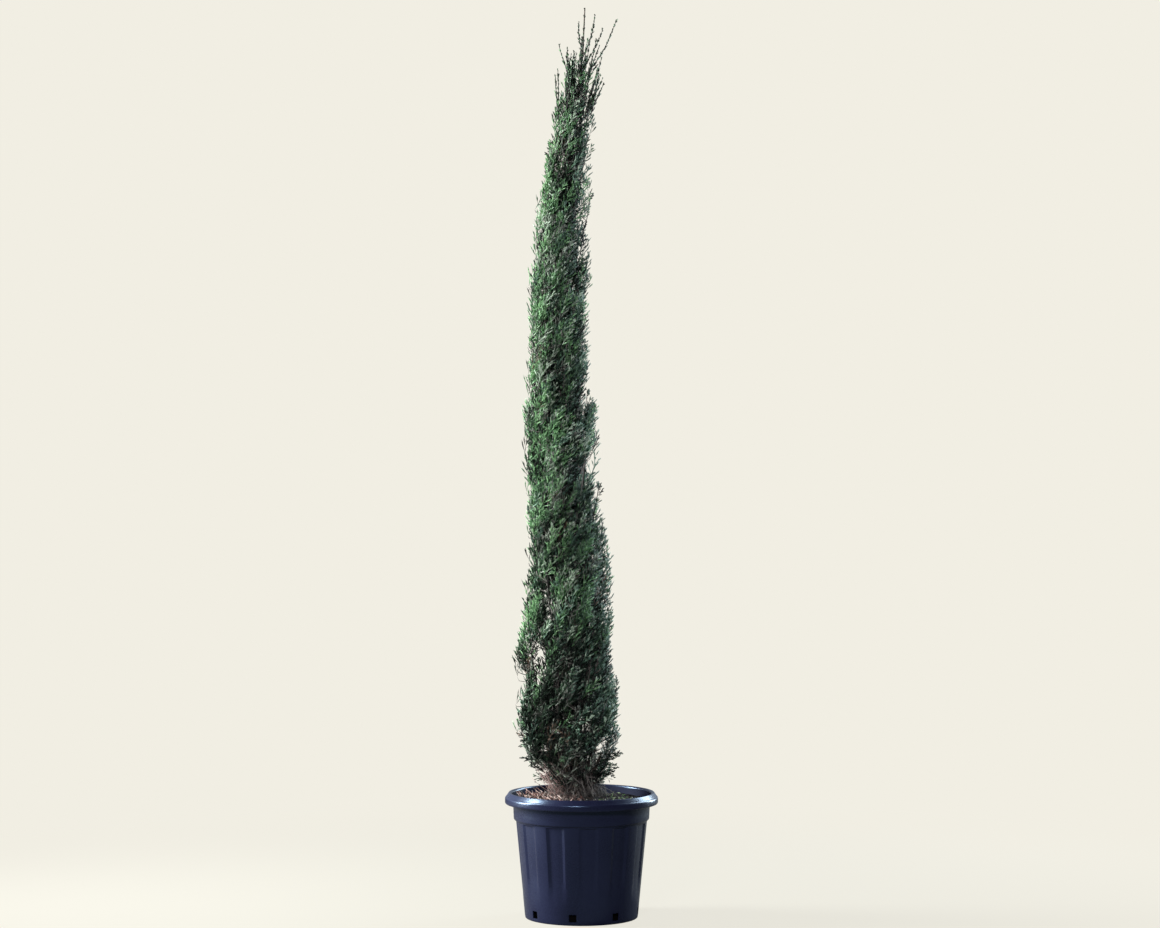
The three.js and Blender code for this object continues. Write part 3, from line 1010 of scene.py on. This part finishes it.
# the lighter shades stand in for leaves lit by the lamps, as painted light and painted highlight, and the
# darkest for leaves in shade, as painted shade
leafShades = {
    "leafDeep": (0.006, 0.010, 0.007),
    "leafDark": (0.024, 0.048, 0.029),
    "leafTeal": (0.045, 0.098, 0.068),
    "leafMid": (0.065, 0.132, 0.071),
    "leafFreshAndLit": (0.112, 0.260, 0.108),
    "leafBright": (0.240, 0.440, 0.215),
    "leafPale": (0.380, 0.480, 0.370),
    "leafGrey": (0.140, 0.155, 0.132),
    "leafDry": (0.120, 0.075, 0.048),
    "leafSea": (0.122, 0.230, 0.160),
}
# for each shade above, its place in the list when it turns lighter and when it turns darker
lighter = np.array([1, 3, 9, 4, 5, 6, 6, 6, 7, 6])
darker = np.array([0, 0, 1, 1, 3, 4, 4, 1, 0, 2])


def insideOf(spot, points):
    aside = (points[..., 0] - spot["x"]) / spot["halfX"]
    above = (points[..., 2] - spot["z"]) / spot["halfZ"]
    return aside**2 + above**2 < 1


def keepShare(lines, angles):
    # lines holds some points along each spray; a spray that passes through a thin place may be left out
    keep = np.clip((lines[:, 1, 2] - 0.25) / 0.13, 0.55, 1.0)
    for spot in thinPlaces:
        crossed = insideOf(spot, lines).any(axis=1)
        if spot.get("front"):
            crossed &= np.sin(angles) < 0
        keep = np.where(crossed, np.minimum(keep, spot["keep"]), keep)
    # high on the right the crown is thin, and the sky shows through it in specks
    heights = lines[:, 2, 2]
    thin = 0.35 * np.clip((heights - 0.85) / 0.2, 0, 1) + 0.65 * np.clip((heights - 1.35) / 0.25, 0, 1)
    return keep * (1 - crownGrowth["topThinning"] * thin * np.clip(np.cos(angles) + 0.35, 0, 1))


def crownSurface():
    # every tuft in one search tree, with the tuft that each face belongs to
    points, faces, owners, names = [], [], [], []
    for row in range(1, crownGrowth["rows"] + 1):
        for side in ("right", "back", "left", "front"):
            name = f"tuft_{row}_{side}"
            start = len(points)
            points += [tuple(corner) for corner in cornersOf(name)]
            for polygon in nodes[name].data.polygons:
                faces.append([start + v for v in polygon.vertices])
                owners.append(len(names))
            names.append(name)
    return BVHTree.FromPolygons(points, faces), owners, names


def radial(angle):
    return np.stack([np.cos(angle), np.sin(angle), np.zeros_like(angle)], axis=-1)


def tangent(angle):
    return np.stack([-np.sin(angle), np.cos(angle), np.zeros_like(angle)], axis=-1)


def skinSpots(rng, tree, owners, names, count):
    # random places on the crown's outer surface, even by area
    low = min(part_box(name)[0].z for name in names)
    high = max(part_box(name)[1].z for name in names)
    outside, widest = 0.3, 0.14
    spots, angles, tufts = [], [], []
    while len(spots) < count:
        z, angle = rng.uniform(low, high), rng.uniform(0, fullTurn)
        away = Vector((math.cos(angle), math.sin(angle), 0))
        hit, _, face, far = tree.ray_cast(Vector(stemAt(z)) + away * outside, -away, outside)
        if hit is None or rng.random() > (outside - far) / widest:
            continue
        spots.append(tuple(hit))
        angles.append(angle)
        tufts.append(owners[face])
    return np.array(spots), np.array(angles), np.array(tufts)


def streaksAt(angles, heights):
    # long bright and dark streaks that climb round the crown with the growth, about -1 to 1
    turned = angles - 4.0 * heights
    x, y = np.cos(turned), np.sin(turned)
    broad = np.stack([2.3 * x, 2.3 * y, 5.5 * heights], axis=1)
    fine = np.stack([5.0 * x, 5.0 * y, 13.0 * heights + 40], axis=1)
    pairs = zip(broad, fine)
    return np.array([1.7 * noise.noise(Vector(a)) + 0.9 * noise.noise(Vector(b)) for a, b in pairs])


def growLimbs(rng, spots, angles, tufts, names):
    # steep limbs that leave the trunk low, swing out, and rise to their own place under the crown's skin
    paths, owners = [], []
    low = stemLine[0][2] + 0.012
    stations = crownGrowth["limbStations"]
    for tuft in range(len(names)):
        mine = np.flatnonzero(tufts == tuft)
        heights = spots[mine, 2]
        mine = mine[heights > np.quantile(heights, 0.4)]
        wanted = max(4, round(crownGrowth["limbs"] * len(mine) / (0.6 * len(spots))))
        for chosen in rng.choice(mine, wanted, replace=False):
            away = radial(angles[chosen])
            tip = spots[chosen] - away * 0.018
            reach = np.linalg.norm((tip - stemAt(tip[2]))[:2])
            length = rng.uniform(*crownGrowth["limbLength"]) * (0.55 + 0.45 * reach / 0.09)
            z0 = max(low + 0.05 * rng.random() ** 2, tip[2] - length)
            lag = angles[chosen] - rng.uniform(0.3, 1.0) * crownGrowth["limbLag"]
            foot = stemAt(z0)
            rise = tip[2] - z0
            elbow = foot + radial(lag) * reach * 0.75 + up * rise * 0.22
            shoulder = tip - up * rise * 0.42 - away * 0.006 - tangent(angles[chosen]) * reach * 0.25
            path = cubicCurves(foot, elbow, shoulder, tip, stations)
            crossed = any(insideOf(spot, path).any() for spot in thinPlaces if spot["keep"] < 0.2)
            if crossed and rng.random() < crownGrowth["openShare"]:
                continue
            paths.append(path)
            owners.append(tuft)

    def addLimb(tip, name, foot, bends):
        # each bend is a share of the way sideways and of the way up
        tip = np.array(tip)
        pulls = [blendOf(foot, tip, np.array([aside, aside, upwards])) for aside, upwards in bends]
        paths.append(cubicCurves(foot, *pulls, tip, stations))
        owners.append(names.index(name))

    for tip, name in lowLimbTips:
        addLimb(tip, name, stemAt(low + 0.015), ((0.40, 0.05), (0.80, 0.55)))
    for tip, name in looseSprigs:
        addLimb(tip, name, stemAt(tip[2] - 0.16), ((0.55, 0.15), (0.90, 0.60)))
    return np.array(paths), np.array(owners)


def sprayKind(dice):
    # one spray of unit length that grows along +Z and bows towards +X
    # each sliver has its start, its end, its thickness and how near the spray's tip it is
    bow, joints, branchlets = dice.uniform(0.04, 0.12), 4, crownGrowth["branchlets"]
    def stem(t):
        return np.array([bow * math.sin(math.pi * min(t, 1.0)), 0.0, t])
    shares = [j / joints for j in range(joints)]
    slivers = [(stem(share), stem(min(share + 1.3 / joints, 1.0)), 0.75, share) for share in shares]
    for k in range(branchlets):
        t = 0.06 + 0.84 * (k + dice.random() * 0.7) / branchlets
        around = 2.4 * k + dice.uniform(-0.5, 0.5)
        lean = math.radians(blendOf(42, 25, t) * dice.uniform(0.75, 1.25))
        length = (0.27 * (1 - t) ** 0.8 + 0.18) * dice.uniform(0.8, 1.2)
        sideways = np.array([math.cos(around), 0.85 * math.sin(around), 0])
        heading = unit(sideways * math.sin(lean) + up * math.cos(lean))
        start = stem(t)
        end = start + heading * length + up * 0.08 * length
        slivers.append((start, end, 1.0, t + 0.25))
        for side in (-1, 1):
            foot = blendOf(start, end, dice.uniform(0.22, 0.6))
            across = np.cross(heading, sideways) * side * dice.uniform(0.25, 0.6)
            smaller = length * dice.uniform(0.46, 0.66)
            slivers.append((foot, foot + unit(heading + across + up * 0.3) * smaller, 0.95, t + 0.15))
    return slivers


def framesAlong(directions, outwards):
    # rotation matrices whose third column is the growing direction and first column faces outwards
    z = unit(directions)
    x = unit(outwards - z * np.sum(outwards * z, axis=1, keepdims=True))
    return np.stack([x, np.cross(z, x), z], axis=2)


def dealShades(rng, spots, angles, depths, streaks):
    # painted light and shade dealt by place, over tone that also differs at random: the left side gets bright
    # shades as painted light, the front greyer shades and pale painted highlights, the right darker and bluer
    # shades as painted shade, the inside, the low parts, the foot and the dark streaks the darkest shades as
    # painted shade, and the bright streaks painted highlights
    leftness = np.clip(0.5 - 0.62 * np.cos(angles - 0.25), 0, 1)
    rightness = 1 - leftness
    frontness = np.clip(-np.sin(angles), 0, 1)
    deep = np.clip((depths - 0.008) / 0.022, 0, 1)
    low = np.clip((0.90 - spots[:, 2]) / 0.40, 0, 1)
    waist = np.clip(1 - np.abs(spots[:, 2] - 1.08) / 0.25, 0, 1)
    shine, gloom = np.clip(streaks, 0, 1), np.clip(-streaks, 0, 1)
    paintedFrontHighlight = frontness * (1 - 0.9 * low)
    paintedLowShade = 0.60 * low * frontness * (1 - 0.5 * rightness) + 0.70 * low * leftness
    paintedLight = 0.90 * leftness + 0.45 * shine
    paintedHighlight = 0.60 * leftness**2 * (1 - 0.9 * low) + 0.40 * shine * (1 - low)
    columns = {
        "leafDeep": 0.18 + 1.5 * deep + paintedLowShade + 0.50 * gloom,
        "leafDark": 0.29 + 0.25 * rightness + 0.6 * deep + 0.75 * low * (1 - rightness) + 0.62 * gloom,
        "leafTeal": 0.08 + 0.90 * rightness,
        "leafMid": 0.40 + 0.15 * leftness,
        "leafFreshAndLit": 0.14 + paintedLight * (1 - 0.7 * low),
        "leafBright": 0.06 + paintedHighlight,
        "leafPale": 0.07 + 0.08 * leftness * (1 - low) + (0.36 + 0.16 * waist) * paintedFrontHighlight + 0.08 * shine,
        "leafGrey": 0.10 + (0.66 - 0.24 * low + 0.30 * waist) * frontness,
        "leafDry": 0.02 + 0.06 * deep,
        "leafSea": 0.05 + (0.34 + 1.1 * low) * rightness,
    }
    weights = np.stack([columns[name] for name in leafShades], axis=1)
    for spot in dryPlaces:
        weights[insideOf(spot, spots) & (np.sin(angles) < 0.2), 8] += 1.6
    foot = np.clip((0.50 - spots[:, 2]) / 0.10, 0, 1)[:, None]
    weights[:, [2, 3, 4, 5, 6, 9]] *= 1 - 0.70 * foot
    weights[:, [0, 7]] += foot * np.array([0.0, 1.25])
    weights[:, 1:7] *= (1 - 0.55 * deep)[:, None]
    chance = np.cumsum(weights / weights.sum(1, keepdims=True), axis=1)
    return np.minimum((rng.random((len(spots), 1)) > chance).sum(1), len(leafShades) - 1)


def growSprays(rng, kinds, bases, frames, lengths, thickness, shades):
    # every sliver of every spray: its start, end, radius, shade and the spray that it belongs to
    which = rng.integers(0, len(kinds), len(bases))
    starts, ends, radii, owners, tones = [], [], [], [], []
    for index, kind in enumerate(kinds):
        mine = np.flatnonzero(which == index)
        a, b = np.array([s[0] for s in kind]), np.array([s[1] for s in kind])
        wide, tipward = np.array([s[2] for s in kind]), np.array([s[3] for s in kind])
        size = lengths[mine, None, None]
        starts.append((bases[mine, None] + np.einsum("nij,kj->nki", frames[mine], a) * size).reshape(-1, 3))
        ends.append((bases[mine, None] + np.einsum("nij,kj->nki", frames[mine], b) * size).reshape(-1, 3))
        radii.append((thickness[mine, None] * wide).ravel())
        owners.append(np.repeat(mine, len(kind)))
        # tips are often a shade lighter, partly as fresh growth and partly as painted highlight, and the
        # slivers near the spray's foot a shade darker as painted shade
        luck = rng.random((len(mine), len(kind)))
        tone = np.repeat(shades[mine, None], len(kind), axis=1)
        tone = np.where(luck < 0.58 * np.clip(tipward - 0.35, 0, 0.8), lighter[tone], tone)
        tone = np.where(luck > 1 - 0.75 * np.clip(0.8 - tipward, 0, 0.8), darker[tone], tone)
        tones.append(tone.ravel())
    return tuple(np.concatenate(part) for part in (starts, ends, radii, tones, owners))


def nearestLimbPoints(bases, limbPaths):
    # where each spray's twig leaves a limb or the leader: the nearest point that lies lower than the spray
    feet, ways = np.zeros_like(bases), np.zeros_like(bases)
    leader = stemAt(np.linspace(stemLine[0][2] + 0.05, stemLine[-1][2] - 0.02, 160))
    points = np.concatenate([limbPaths[:, 2:].reshape(-1, 3), leader])
    limbWays = unit(np.gradient(limbPaths, axis=1))[:, 2:].reshape(-1, 3)
    along = np.concatenate([limbWays, unit(np.gradient(leader, axis=0))])
    for mine in np.array_split(np.arange(len(bases)), 40):
        gap = bases[mine, None] - points[None]
        far = np.linalg.norm(gap, axis=2)
        best = (far + np.where(gap[:, :, 2] < 0.25 * far, 0.5, 0)).argmin(1)
        feet[mine], ways[mine] = points[best], along[best]
    return feet, ways


def bendPaths(feet, ways, bases, headings, stations):
    # twigs that leave along the limb and arrive along the spray
    far = np.minimum(np.linalg.norm(bases - feet, axis=1)[:, None], 0.05)
    return cubicCurves(feet, feet + ways * far * 0.3, bases - headings * far * 0.35, bases, stations)


def leafFinish(name, colour):
    # the inner, darker leaves have little gloss
    return newMaterial(name, colour, 0.50, 0.20 if colour[1] < 0.06 else 0.55)[0]


leafMaterials = [leafFinish(name, colour) for name, colour in leafShades.items()]
twigShades = {
    "twigBrown": (0.054, 0.047, 0.042),
    "twigGrey": (0.185, 0.172, 0.160),
    "twigDark": (0.018, 0.016, 0.014),
}
twigMaterials = plains(twigShades)


def anglesOf(points):
    away = points - stemAt(points[:, 2])
    return np.arctan2(away[:, 1], away[:, 0])


def evenOut(spots, angles, reach):
    # on the left side the crown is close and even: sprays that stand proud of their neighbours are drawn in
    near = np.abs(spots[:, None, 2] - spots[None, :, 2]) < 0.07
    near &= np.cos(angles[:, None] - angles[None]) > 0.94
    usual = near @ reach / near.sum(1)
    leftness = np.clip(-1.6 * np.cos(angles) - 0.3, 0, 1)
    wanted = np.minimum(reach, usual * crownGrowth["evenness"])
    return blendOf(reach, wanted, leftness)


def crownSprays(rng, spots, angles, tufts, reach):
    # the sprays of the crown's skin, and those that sit deeper
    growth = crownGrowth
    count = len(spots)
    away, along = radial(angles), tangent(angles)
    streaks = streaksAt(angles, spots[:, 2])
    deep = rng.random(count) < growth["deepShare"]
    depths = rng.uniform(*growth["skin"], count) + growth["groove"] * np.clip(0.1 - streaks, 0, 0.8)
    depths = np.where(deep, depths + rng.uniform(0.010, growth["deepReach"] - 0.010, count), depths)
    depths = np.minimum(depths, 0.65 * reach)
    tips = spots - away * depths[:, None]
    openness = (1 + 0.75 * np.cos(angles))[:, None]  # close on the left, loose on the right
    headings = unit(
        up
        + away * rng.uniform(*growth["outward"], (count, 1)) * openness
        + along * rng.uniform(*growth["swirl"], (count, 1))
        + np.array([growth["lean"], 0, 0])
        + rng.normal(0, growth["scatter"], (count, 3))
    )
    lengths = rng.uniform(*growth["sprayLength"], count) * (0.82 + 0.14 * reach / 0.09)
    tips[:, 2] = np.maximum(tips[:, 2], growth["lowest"] + lengths * 0.55)
    sprays = {"tips": tips, "headings": headings, "lengths": lengths, "angles": angles, "tufts": tufts}
    return {**sprays, "depths": depths, "streaks": streaks}


def footSprays(rng, limbPaths, limbTufts):
    # short dark sprays on the limbs near the foot
    growth = crownGrowth
    steps = limbPaths[:, 2:].reshape(-1, 3)
    tufts = np.repeat(limbTufts, limbPaths.shape[1] - 2)
    low, high = growth["footBand"]
    usable = np.flatnonzero((steps[:, 2] > low) & (steps[:, 2] < high))
    odds = 1 + 0.8 * (steps[usable, 0] < -0.06)
    chosen = rng.choice(usable, growth["footSprays"], p=odds / odds.sum())
    feet = steps[chosen] + rng.normal(0, 0.005, (len(chosen), 3))
    angles = anglesOf(feet)
    ways = 0.35 * up + radial(angles) * rng.uniform(0.1, 1.3, (len(chosen), 1))
    ways = unit(ways + rng.normal(0, 0.4, (len(chosen), 3)))
    lengths = rng.uniform(*growth["footLength"], len(chosen))
    tips = feet + ways * lengths[:, None]
    return {"tips": tips, "headings": ways, "lengths": lengths, "angles": angles, "tufts": tufts[chosen]}


def sprigSprays(rng, limbPaths, limbTufts):
    # small leafy sprays up the outer half of each loose sprig
    perSprig = crownGrowth["spraysPerSprig"]
    sprigs = limbPaths[-len(looseSprigs) :, 6:]
    at = np.arange(perSprig) % sprigs.shape[1]
    joints = sprigs[:, at].reshape(-1, 3)
    ways = unit(np.gradient(sprigs, axis=1))[:, at].reshape(-1, 3)
    joints = joints - ways * rng.uniform(0, 0.016, (len(joints), 1))
    ways = unit(ways + rng.normal(0, 0.26, ways.shape))
    lengths = rng.uniform(*crownGrowth["sprigSpray"], len(joints))
    tips = joints + ways * lengths[:, None]
    tufts = np.repeat(limbTufts[-len(sprigs) :], perSprig)
    return {"tips": tips, "headings": ways, "lengths": lengths, "angles": anglesOf(joints), "tufts": tufts}


def plantSprays(rng, tree, owners, names):
    # where every spray stands: its tip, direction, length, side and depth under the skin
    spots, angles, tufts = skinSpots(rng, tree, owners, names, crownGrowth["sprays"])
    heart = stemAt(spots[:, 2])
    reach = evenOut(spots, angles, np.linalg.norm((spots - heart)[:, :2], axis=1))
    spots = heart + radial(angles) * reach[:, None]
    limbPaths, limbTufts = growLimbs(rng, spots, angles, tufts, names)
    crown = crownSprays(rng, spots, angles, tufts, reach)
    foot = footSprays(rng, limbPaths, limbTufts)
    sprigs = sprigSprays(rng, limbPaths, limbTufts)
    # these depths and streaks only choose shades: the foot sprays get dark shades as painted shade under the
    # crown, and the loose sprigs a slightly darker mix
    foot["depths"] = rng.uniform(0.012, 0.030, len(foot["tips"]))
    foot["streaks"] = rng.uniform(-1, 0.3, len(foot["tips"]))
    sprigs["depths"] = np.full(len(sprigs["tips"]), 0.01)
    sprigs["streaks"] = np.full(len(sprigs["tips"]), -0.3)
    planted = {title: np.concatenate([crown[title], foot[title], sprigs[title]]) for title in crown}
    along = planted["headings"][:, None] * planted["lengths"][:, None, None]
    lines = planted["tips"][:, None] - along * np.array([0.95, 0.7, 0.45, 0.2, 0.0])[:, None]
    keep = rng.random(len(lines)) < keepShare(lines, planted["angles"])
    return {title: part[keep] for title, part in planted.items()}, limbPaths


def makeCrown():
    growth = crownGrowth
    rng = np.random.default_rng(growth["seed"])
    dice = random.Random(growth["seed"])
    tree, owners, names = crownSurface()
    crown, limbPaths = plantSprays(rng, tree, owners, names)
    bases = crown["tips"] - crown["headings"] * crown["lengths"][:, None]
    feet, ways = nearestLimbPoints(bases, limbPaths)
    held = np.linalg.norm(bases - feet, axis=1) < growth["longestTwig"]
    bases, feet, ways = bases[held], feet[held], ways[held]
    crown = {title: part[held] for title, part in crown.items()}
    tips, headings, lengths, tufts = (crown[title] for title in ("tips", "headings", "lengths", "tufts"))
    count = len(tips)
    shades = dealShades(rng, tips, crown["angles"], crown["depths"], crown["streaks"])
    kinds = [sprayKind(dice) for _ in range(growth["kinds"])]
    thickness = rng.uniform(*growth["leafRadius"], count)
    frames = framesAlong(headings, radial(crown["angles"]) + rng.normal(0, 0.5, (count, 3)))
    starts, ends, radii, tones, sprayOf = growSprays(rng, kinds, bases, frames, lengths, thickness, shades)
    for index, name in enumerate(names):
        mine = tufts[sprayOf] == index
        points, faces = spindles(starts[mine], ends[mine], radii[mine], 0.55)
        piece = meshOf(name.replace("tuft", "foliage"), points, faces, tones[mine], leafMaterials)
        place(piece, "foliage", name)
    print("sprays", count, "foliage triangles", len(starts) * 6)

    twigPaths = bendPaths(feet, ways, bases, headings, 5)
    wide = np.linspace(1, 0.55, 5)[None] * rng.uniform(*growth["twigRadius"], (count, 1))
    points, faces = tubes(twigPaths, wide)
    shades = rng.choice(3, count, p=growth["twigShades"])
    place(meshOf("crown_twigs", points, faces, shades, twigMaterials), "bark")
    print("twig triangles", len(faces))

    taper = np.linspace(1, 0.25, growth["limbStations"])[None]
    stout = 0.0014 + 0.0075 * (limbPaths[:, -1, 2] - limbPaths[:, 0, 2])[:, None]
    stout *= np.clip((2.15 - limbPaths[:, :1, 2]) / 1.2, 0.3, 1.0)
    points, faces = tubes(limbPaths, taper * stout, 6)
    shades = rng.choice(3, len(limbPaths), p=growth["limbShades"])
    place(meshOf("crown_limbs", points, faces, shades, twigMaterials), "bark")
    print("limb triangles", len(faces))


makeCrown()
print("crown is made")


shootLook = {
    "seed": 31,
    "gap": 0.0023,
    "leafLength": (0.007, 0.016),
    "lean": 20,
    "leafRadius": 0.0016,
    "bareShare": 0.05,
    "extra": 46,  # small upright shoots round the foot of the named ones
    "extraHeight": (1.860, 1.985),
    "extraLength": (0.045, 0.105),
    "spread": 0.046,
    "shades": (0, 1, 3, 4, 6),  # places in the list of leaf shades, and the chance of each
    "chances": (0.34, 0.34, 0.18, 0.08, 0.06),
    "stations": 14,
    "stemRadius": (0.0014, 0.0006),
}


def leafyShoot(rng, path):
    # short leafy sprigs that hug a fine stem in uneven beads, longest near its foot
    lengths = np.concatenate([[0], np.cumsum(np.linalg.norm(np.diff(path, axis=0), axis=1))])
    count = int(lengths[-1] / shootLook["gap"])
    share = rng.uniform(shootLook["bareShare"], 1.0, count)
    share = np.clip(share + 0.02 * np.sin(share * lengths[-1] * 420), 0, 1)
    at = share * lengths[-1]
    starts = alongLine(at, lengths, path)
    ways = unit(alongLine(at, lengths, unit(np.gradient(path, axis=0))))
    side = unit(np.cross(ways, rng.normal(0, 1, (count, 3))))
    lean = math.radians(shootLook["lean"]) * rng.uniform(0.5, 1.4, (count, 1))
    size = rng.uniform(*shootLook["leafLength"], (count, 1)) * (1.15 - 0.65 * share[:, None])
    ends = starts + unit(ways * np.cos(lean) + side * np.sin(lean)) * size
    ends[:, 2] = np.minimum(ends[:, 2], stemLine[-1][2])
    return starts, ends


def extraShoots(rng):
    paths = []
    for _ in range(shootLook["extra"]):
        z = rng.uniform(*shootLook["extraHeight"])
        angle = rng.uniform(0, fullTurn)
        away = radial(np.array(angle))
        top = min(1.0, (2.05 - z) / 0.15)
        foot = stemAt(z) + away * shootLook["spread"] * math.sqrt(rng.uniform(0.05, 1.0)) * top
        length = rng.uniform(*shootLook["extraLength"])
        lean = away * rng.uniform(0.0, 0.28) + np.array([0.16, 0, 0]) + rng.normal(0, 0.06, 3)
        bend = rng.normal(0, 0.05, 3)
        t = np.linspace(0, 1, shootLook["stations"])[:, None]
        paths.append(foot + (up + lean) * length * t + bend * length * t * t)
    return paths


def makeTopShoots():
    look = shootLook
    rng = np.random.default_rng(look["seed"])
    names = sorted(name for name in nodes if name.startswith("shoot_"))
    leader = stemAt(np.linspace(1.93, stemLine[-1][2] - 0.002, look["stations"]))
    paths = [smoothLine(leader, look["stations"])]
    for name in names:
        line, _ = limbLine(name, 6)
        corners = cornersOf(name)
        tip = corners[corners[:, 2].argmax()]
        paths.append(smoothLine(np.vstack([stemAt(line[0][2] - 0.01), line, tip]), look["stations"]))
    paths += extraShoots(rng)
    starts, ends, shades = [], [], []
    for path in paths:
        a, b = leafyShoot(rng, path)
        starts.append(a)
        ends.append(b)
        shades.append(rng.choice(look["shades"], len(a), p=look["chances"]))
    starts, ends, shades = (np.concatenate(part) for part in (starts, ends, shades))
    radii = look["leafRadius"] * rng.uniform(0.7, 1.15, len(starts))
    points, faces = spindles(starts, ends, radii, 0.55)
    place(meshOf("top_shoot_leaves", points, faces, shades, leafMaterials), "foliage")
    wide = np.linspace(*look["stemRadius"], look["stations"])[None].repeat(len(paths), 0)
    points, faces = tubes(np.array(paths), wide, 5)
    place(meshOf("top_shoot_stems", points, faces, [0], twigMaterials[2:]), "foliage", *names)


makeTopShoots()
print("top shoots are made")


thatchLook = {
    "seed": 8,
    "skirt": 520,  # dead twigs that arch out and down to the soil
    "brush": 420,  # dead twigs that stand up round the trunk
    "radius": (0.00045, 0.00095),
    "skirtTop": 0.078,
    "skirtReach": (0.030, 0.068),
    "brushHeight": 0.105,
    "slivers": 2600,
    "sliverLength": (0.005, 0.016),
    "sliverRadius": (0.0005, 0.0011),
    "pinkTwigs": 26,  # a pale dead spray that hangs on at the left of the foot
    "pinkFrom": (-0.030, -0.026, 0.288),
    "pinkTo": (-0.092, -0.048, 0.345),
    "stations": 7,
    "skirtChances": (0.36, 0.31, 0.33),  # dark, brown and pale twigs
    "brushChances": (0.50, 0.29, 0.21),
    "twigTones": {
        "dryTwigDark": (0.014, 0.013, 0.012),
        "dryTwigBrown": (0.088, 0.077, 0.070),
        "dryTwigPale": (0.285, 0.260, 0.242),
        "dryTwigPink": (0.440, 0.300, 0.280),
    },
    "sliverTones": {
        "deadLeafBrown": (0.085, 0.065, 0.053),
        "deadLeafDark": (0.024, 0.021, 0.019),
        "deadLeafPink": (0.330, 0.225, 0.185),
    },
}


def skirtPaths(rng):
    count = thatchLook["skirt"]
    foot = stemLine[0]
    angle = rng.uniform(0, fullTurn, count)
    away = radial(angle)
    lift = thatchLook["skirtTop"] * rng.random((count, 1)) ** 0.8
    start = stemAt(foot[2] + lift[:, 0]) + away * rng.uniform(0.008, 0.022, (count, 1))
    reach = rng.uniform(*thatchLook["skirtReach"], (count, 1))
    turned = radial(angle + rng.normal(0, 0.45, count))
    end = stemAt(np.full(count, foot[2])) + turned * reach + rng.normal(0, 0.014, (count, 3))
    end[:, 2] = foot[2] - 0.004 + rng.uniform(0, 0.012, count)
    knee = blendOf(start, end, 0.45) + away * reach * 0.22 + up * (0.010 + 0.25 * lift)
    knee += rng.normal(0, 0.013, (count, 3))
    return archedCurves(start, knee, end, thatchLook["stations"])


def brushPaths(rng):
    count = thatchLook["brush"]
    angle = rng.uniform(0, fullTurn, count)
    away = radial(angle)
    z = stemLine[0][2] + 0.09 * rng.random(count) ** 1.3
    start = stemAt(z) + away * rng.uniform(0.004, 0.034, (count, 1))
    heading = unit(up + away * rng.uniform(-0.05, 0.65, (count, 1)) + rng.normal(0, 0.28, (count, 3)))
    length = rng.uniform(0.25, 1.0, (count, 1)) ** 1.4 * thatchLook["brushHeight"]
    curl = rng.normal(0, 0.18, (count, 3)) + away * 0.06
    t = np.linspace(0, 1, thatchLook["stations"])[None, :, None]
    return start[:, None] + heading[:, None] * length[:, None] * t + curl[:, None] * length[:, None] * t * t


def pinkPaths(rng):
    count = thatchLook["pinkTwigs"]
    start = np.array(thatchLook["pinkFrom"]) + rng.normal(0, 0.007, (count, 3))
    end = np.array(thatchLook["pinkTo"]) + rng.normal(0, 0.011, (count, 3))
    knee = blendOf(start, end, 0.5) + rng.normal(0, 0.008, (count, 3)) - up * 0.010
    return archedCurves(start, knee, end, thatchLook["stations"])


def makeThatch():
    look = thatchLook
    rng = np.random.default_rng(look["seed"])
    paths = np.concatenate([skirtPaths(rng), brushPaths(rng), pinkPaths(rng)])
    count = len(paths)
    radii = np.linspace(1, 0.45, look["stations"])[None] * rng.uniform(*look["radius"], (count, 1))
    points, faces = tubes(paths, radii)
    skirt = np.arange(count)[:, None] < look["skirt"]
    chance = np.cumsum(np.where(skirt, [look["skirtChances"]], [look["brushChances"]]), axis=1)
    shades = (rng.random((count, 1)) > chance[:, :2]).sum(1)
    shades[-look["pinkTwigs"] :] = 3
    twigs = meshOf("dry_twigs", points, faces, shades, plains(look["twigTones"]))
    place(twigs, "dry_foliage", "thatch_front", "thatch_left", "thatch_right")
    # dead slivers still held by the twigs, pinkest low on the left
    which = rng.integers(0, count, look["slivers"])
    step = rng.integers(1, look["stations"], len(which))
    root = paths[which, step]
    way = unit(unit(root - paths[which, step - 1]) + rng.normal(0, 0.45, (len(which), 3)))
    length = rng.uniform(*look["sliverLength"], (len(which), 1))
    points, faces = spindles(root, root + way * length, rng.uniform(*look["sliverRadius"], len(which)), 0.5)
    leftward = np.clip(-unit(root[:, :2] - stemAt(root[:, 2])[:, :2])[:, 0], 0, 1)
    low = root[:, 2] < stemLine[0][2] + 0.055
    pink = (rng.random(len(which)) < 0.55 * leftward) & low
    shades = np.where(pink, 2, rng.choice(2, len(which), p=[0.45, 0.55]))
    place(meshOf("dead_leaves", points, faces, shades, plains(look["sliverTones"])), "dry_foliage")


makeThatch()
print("dry twigs are made")
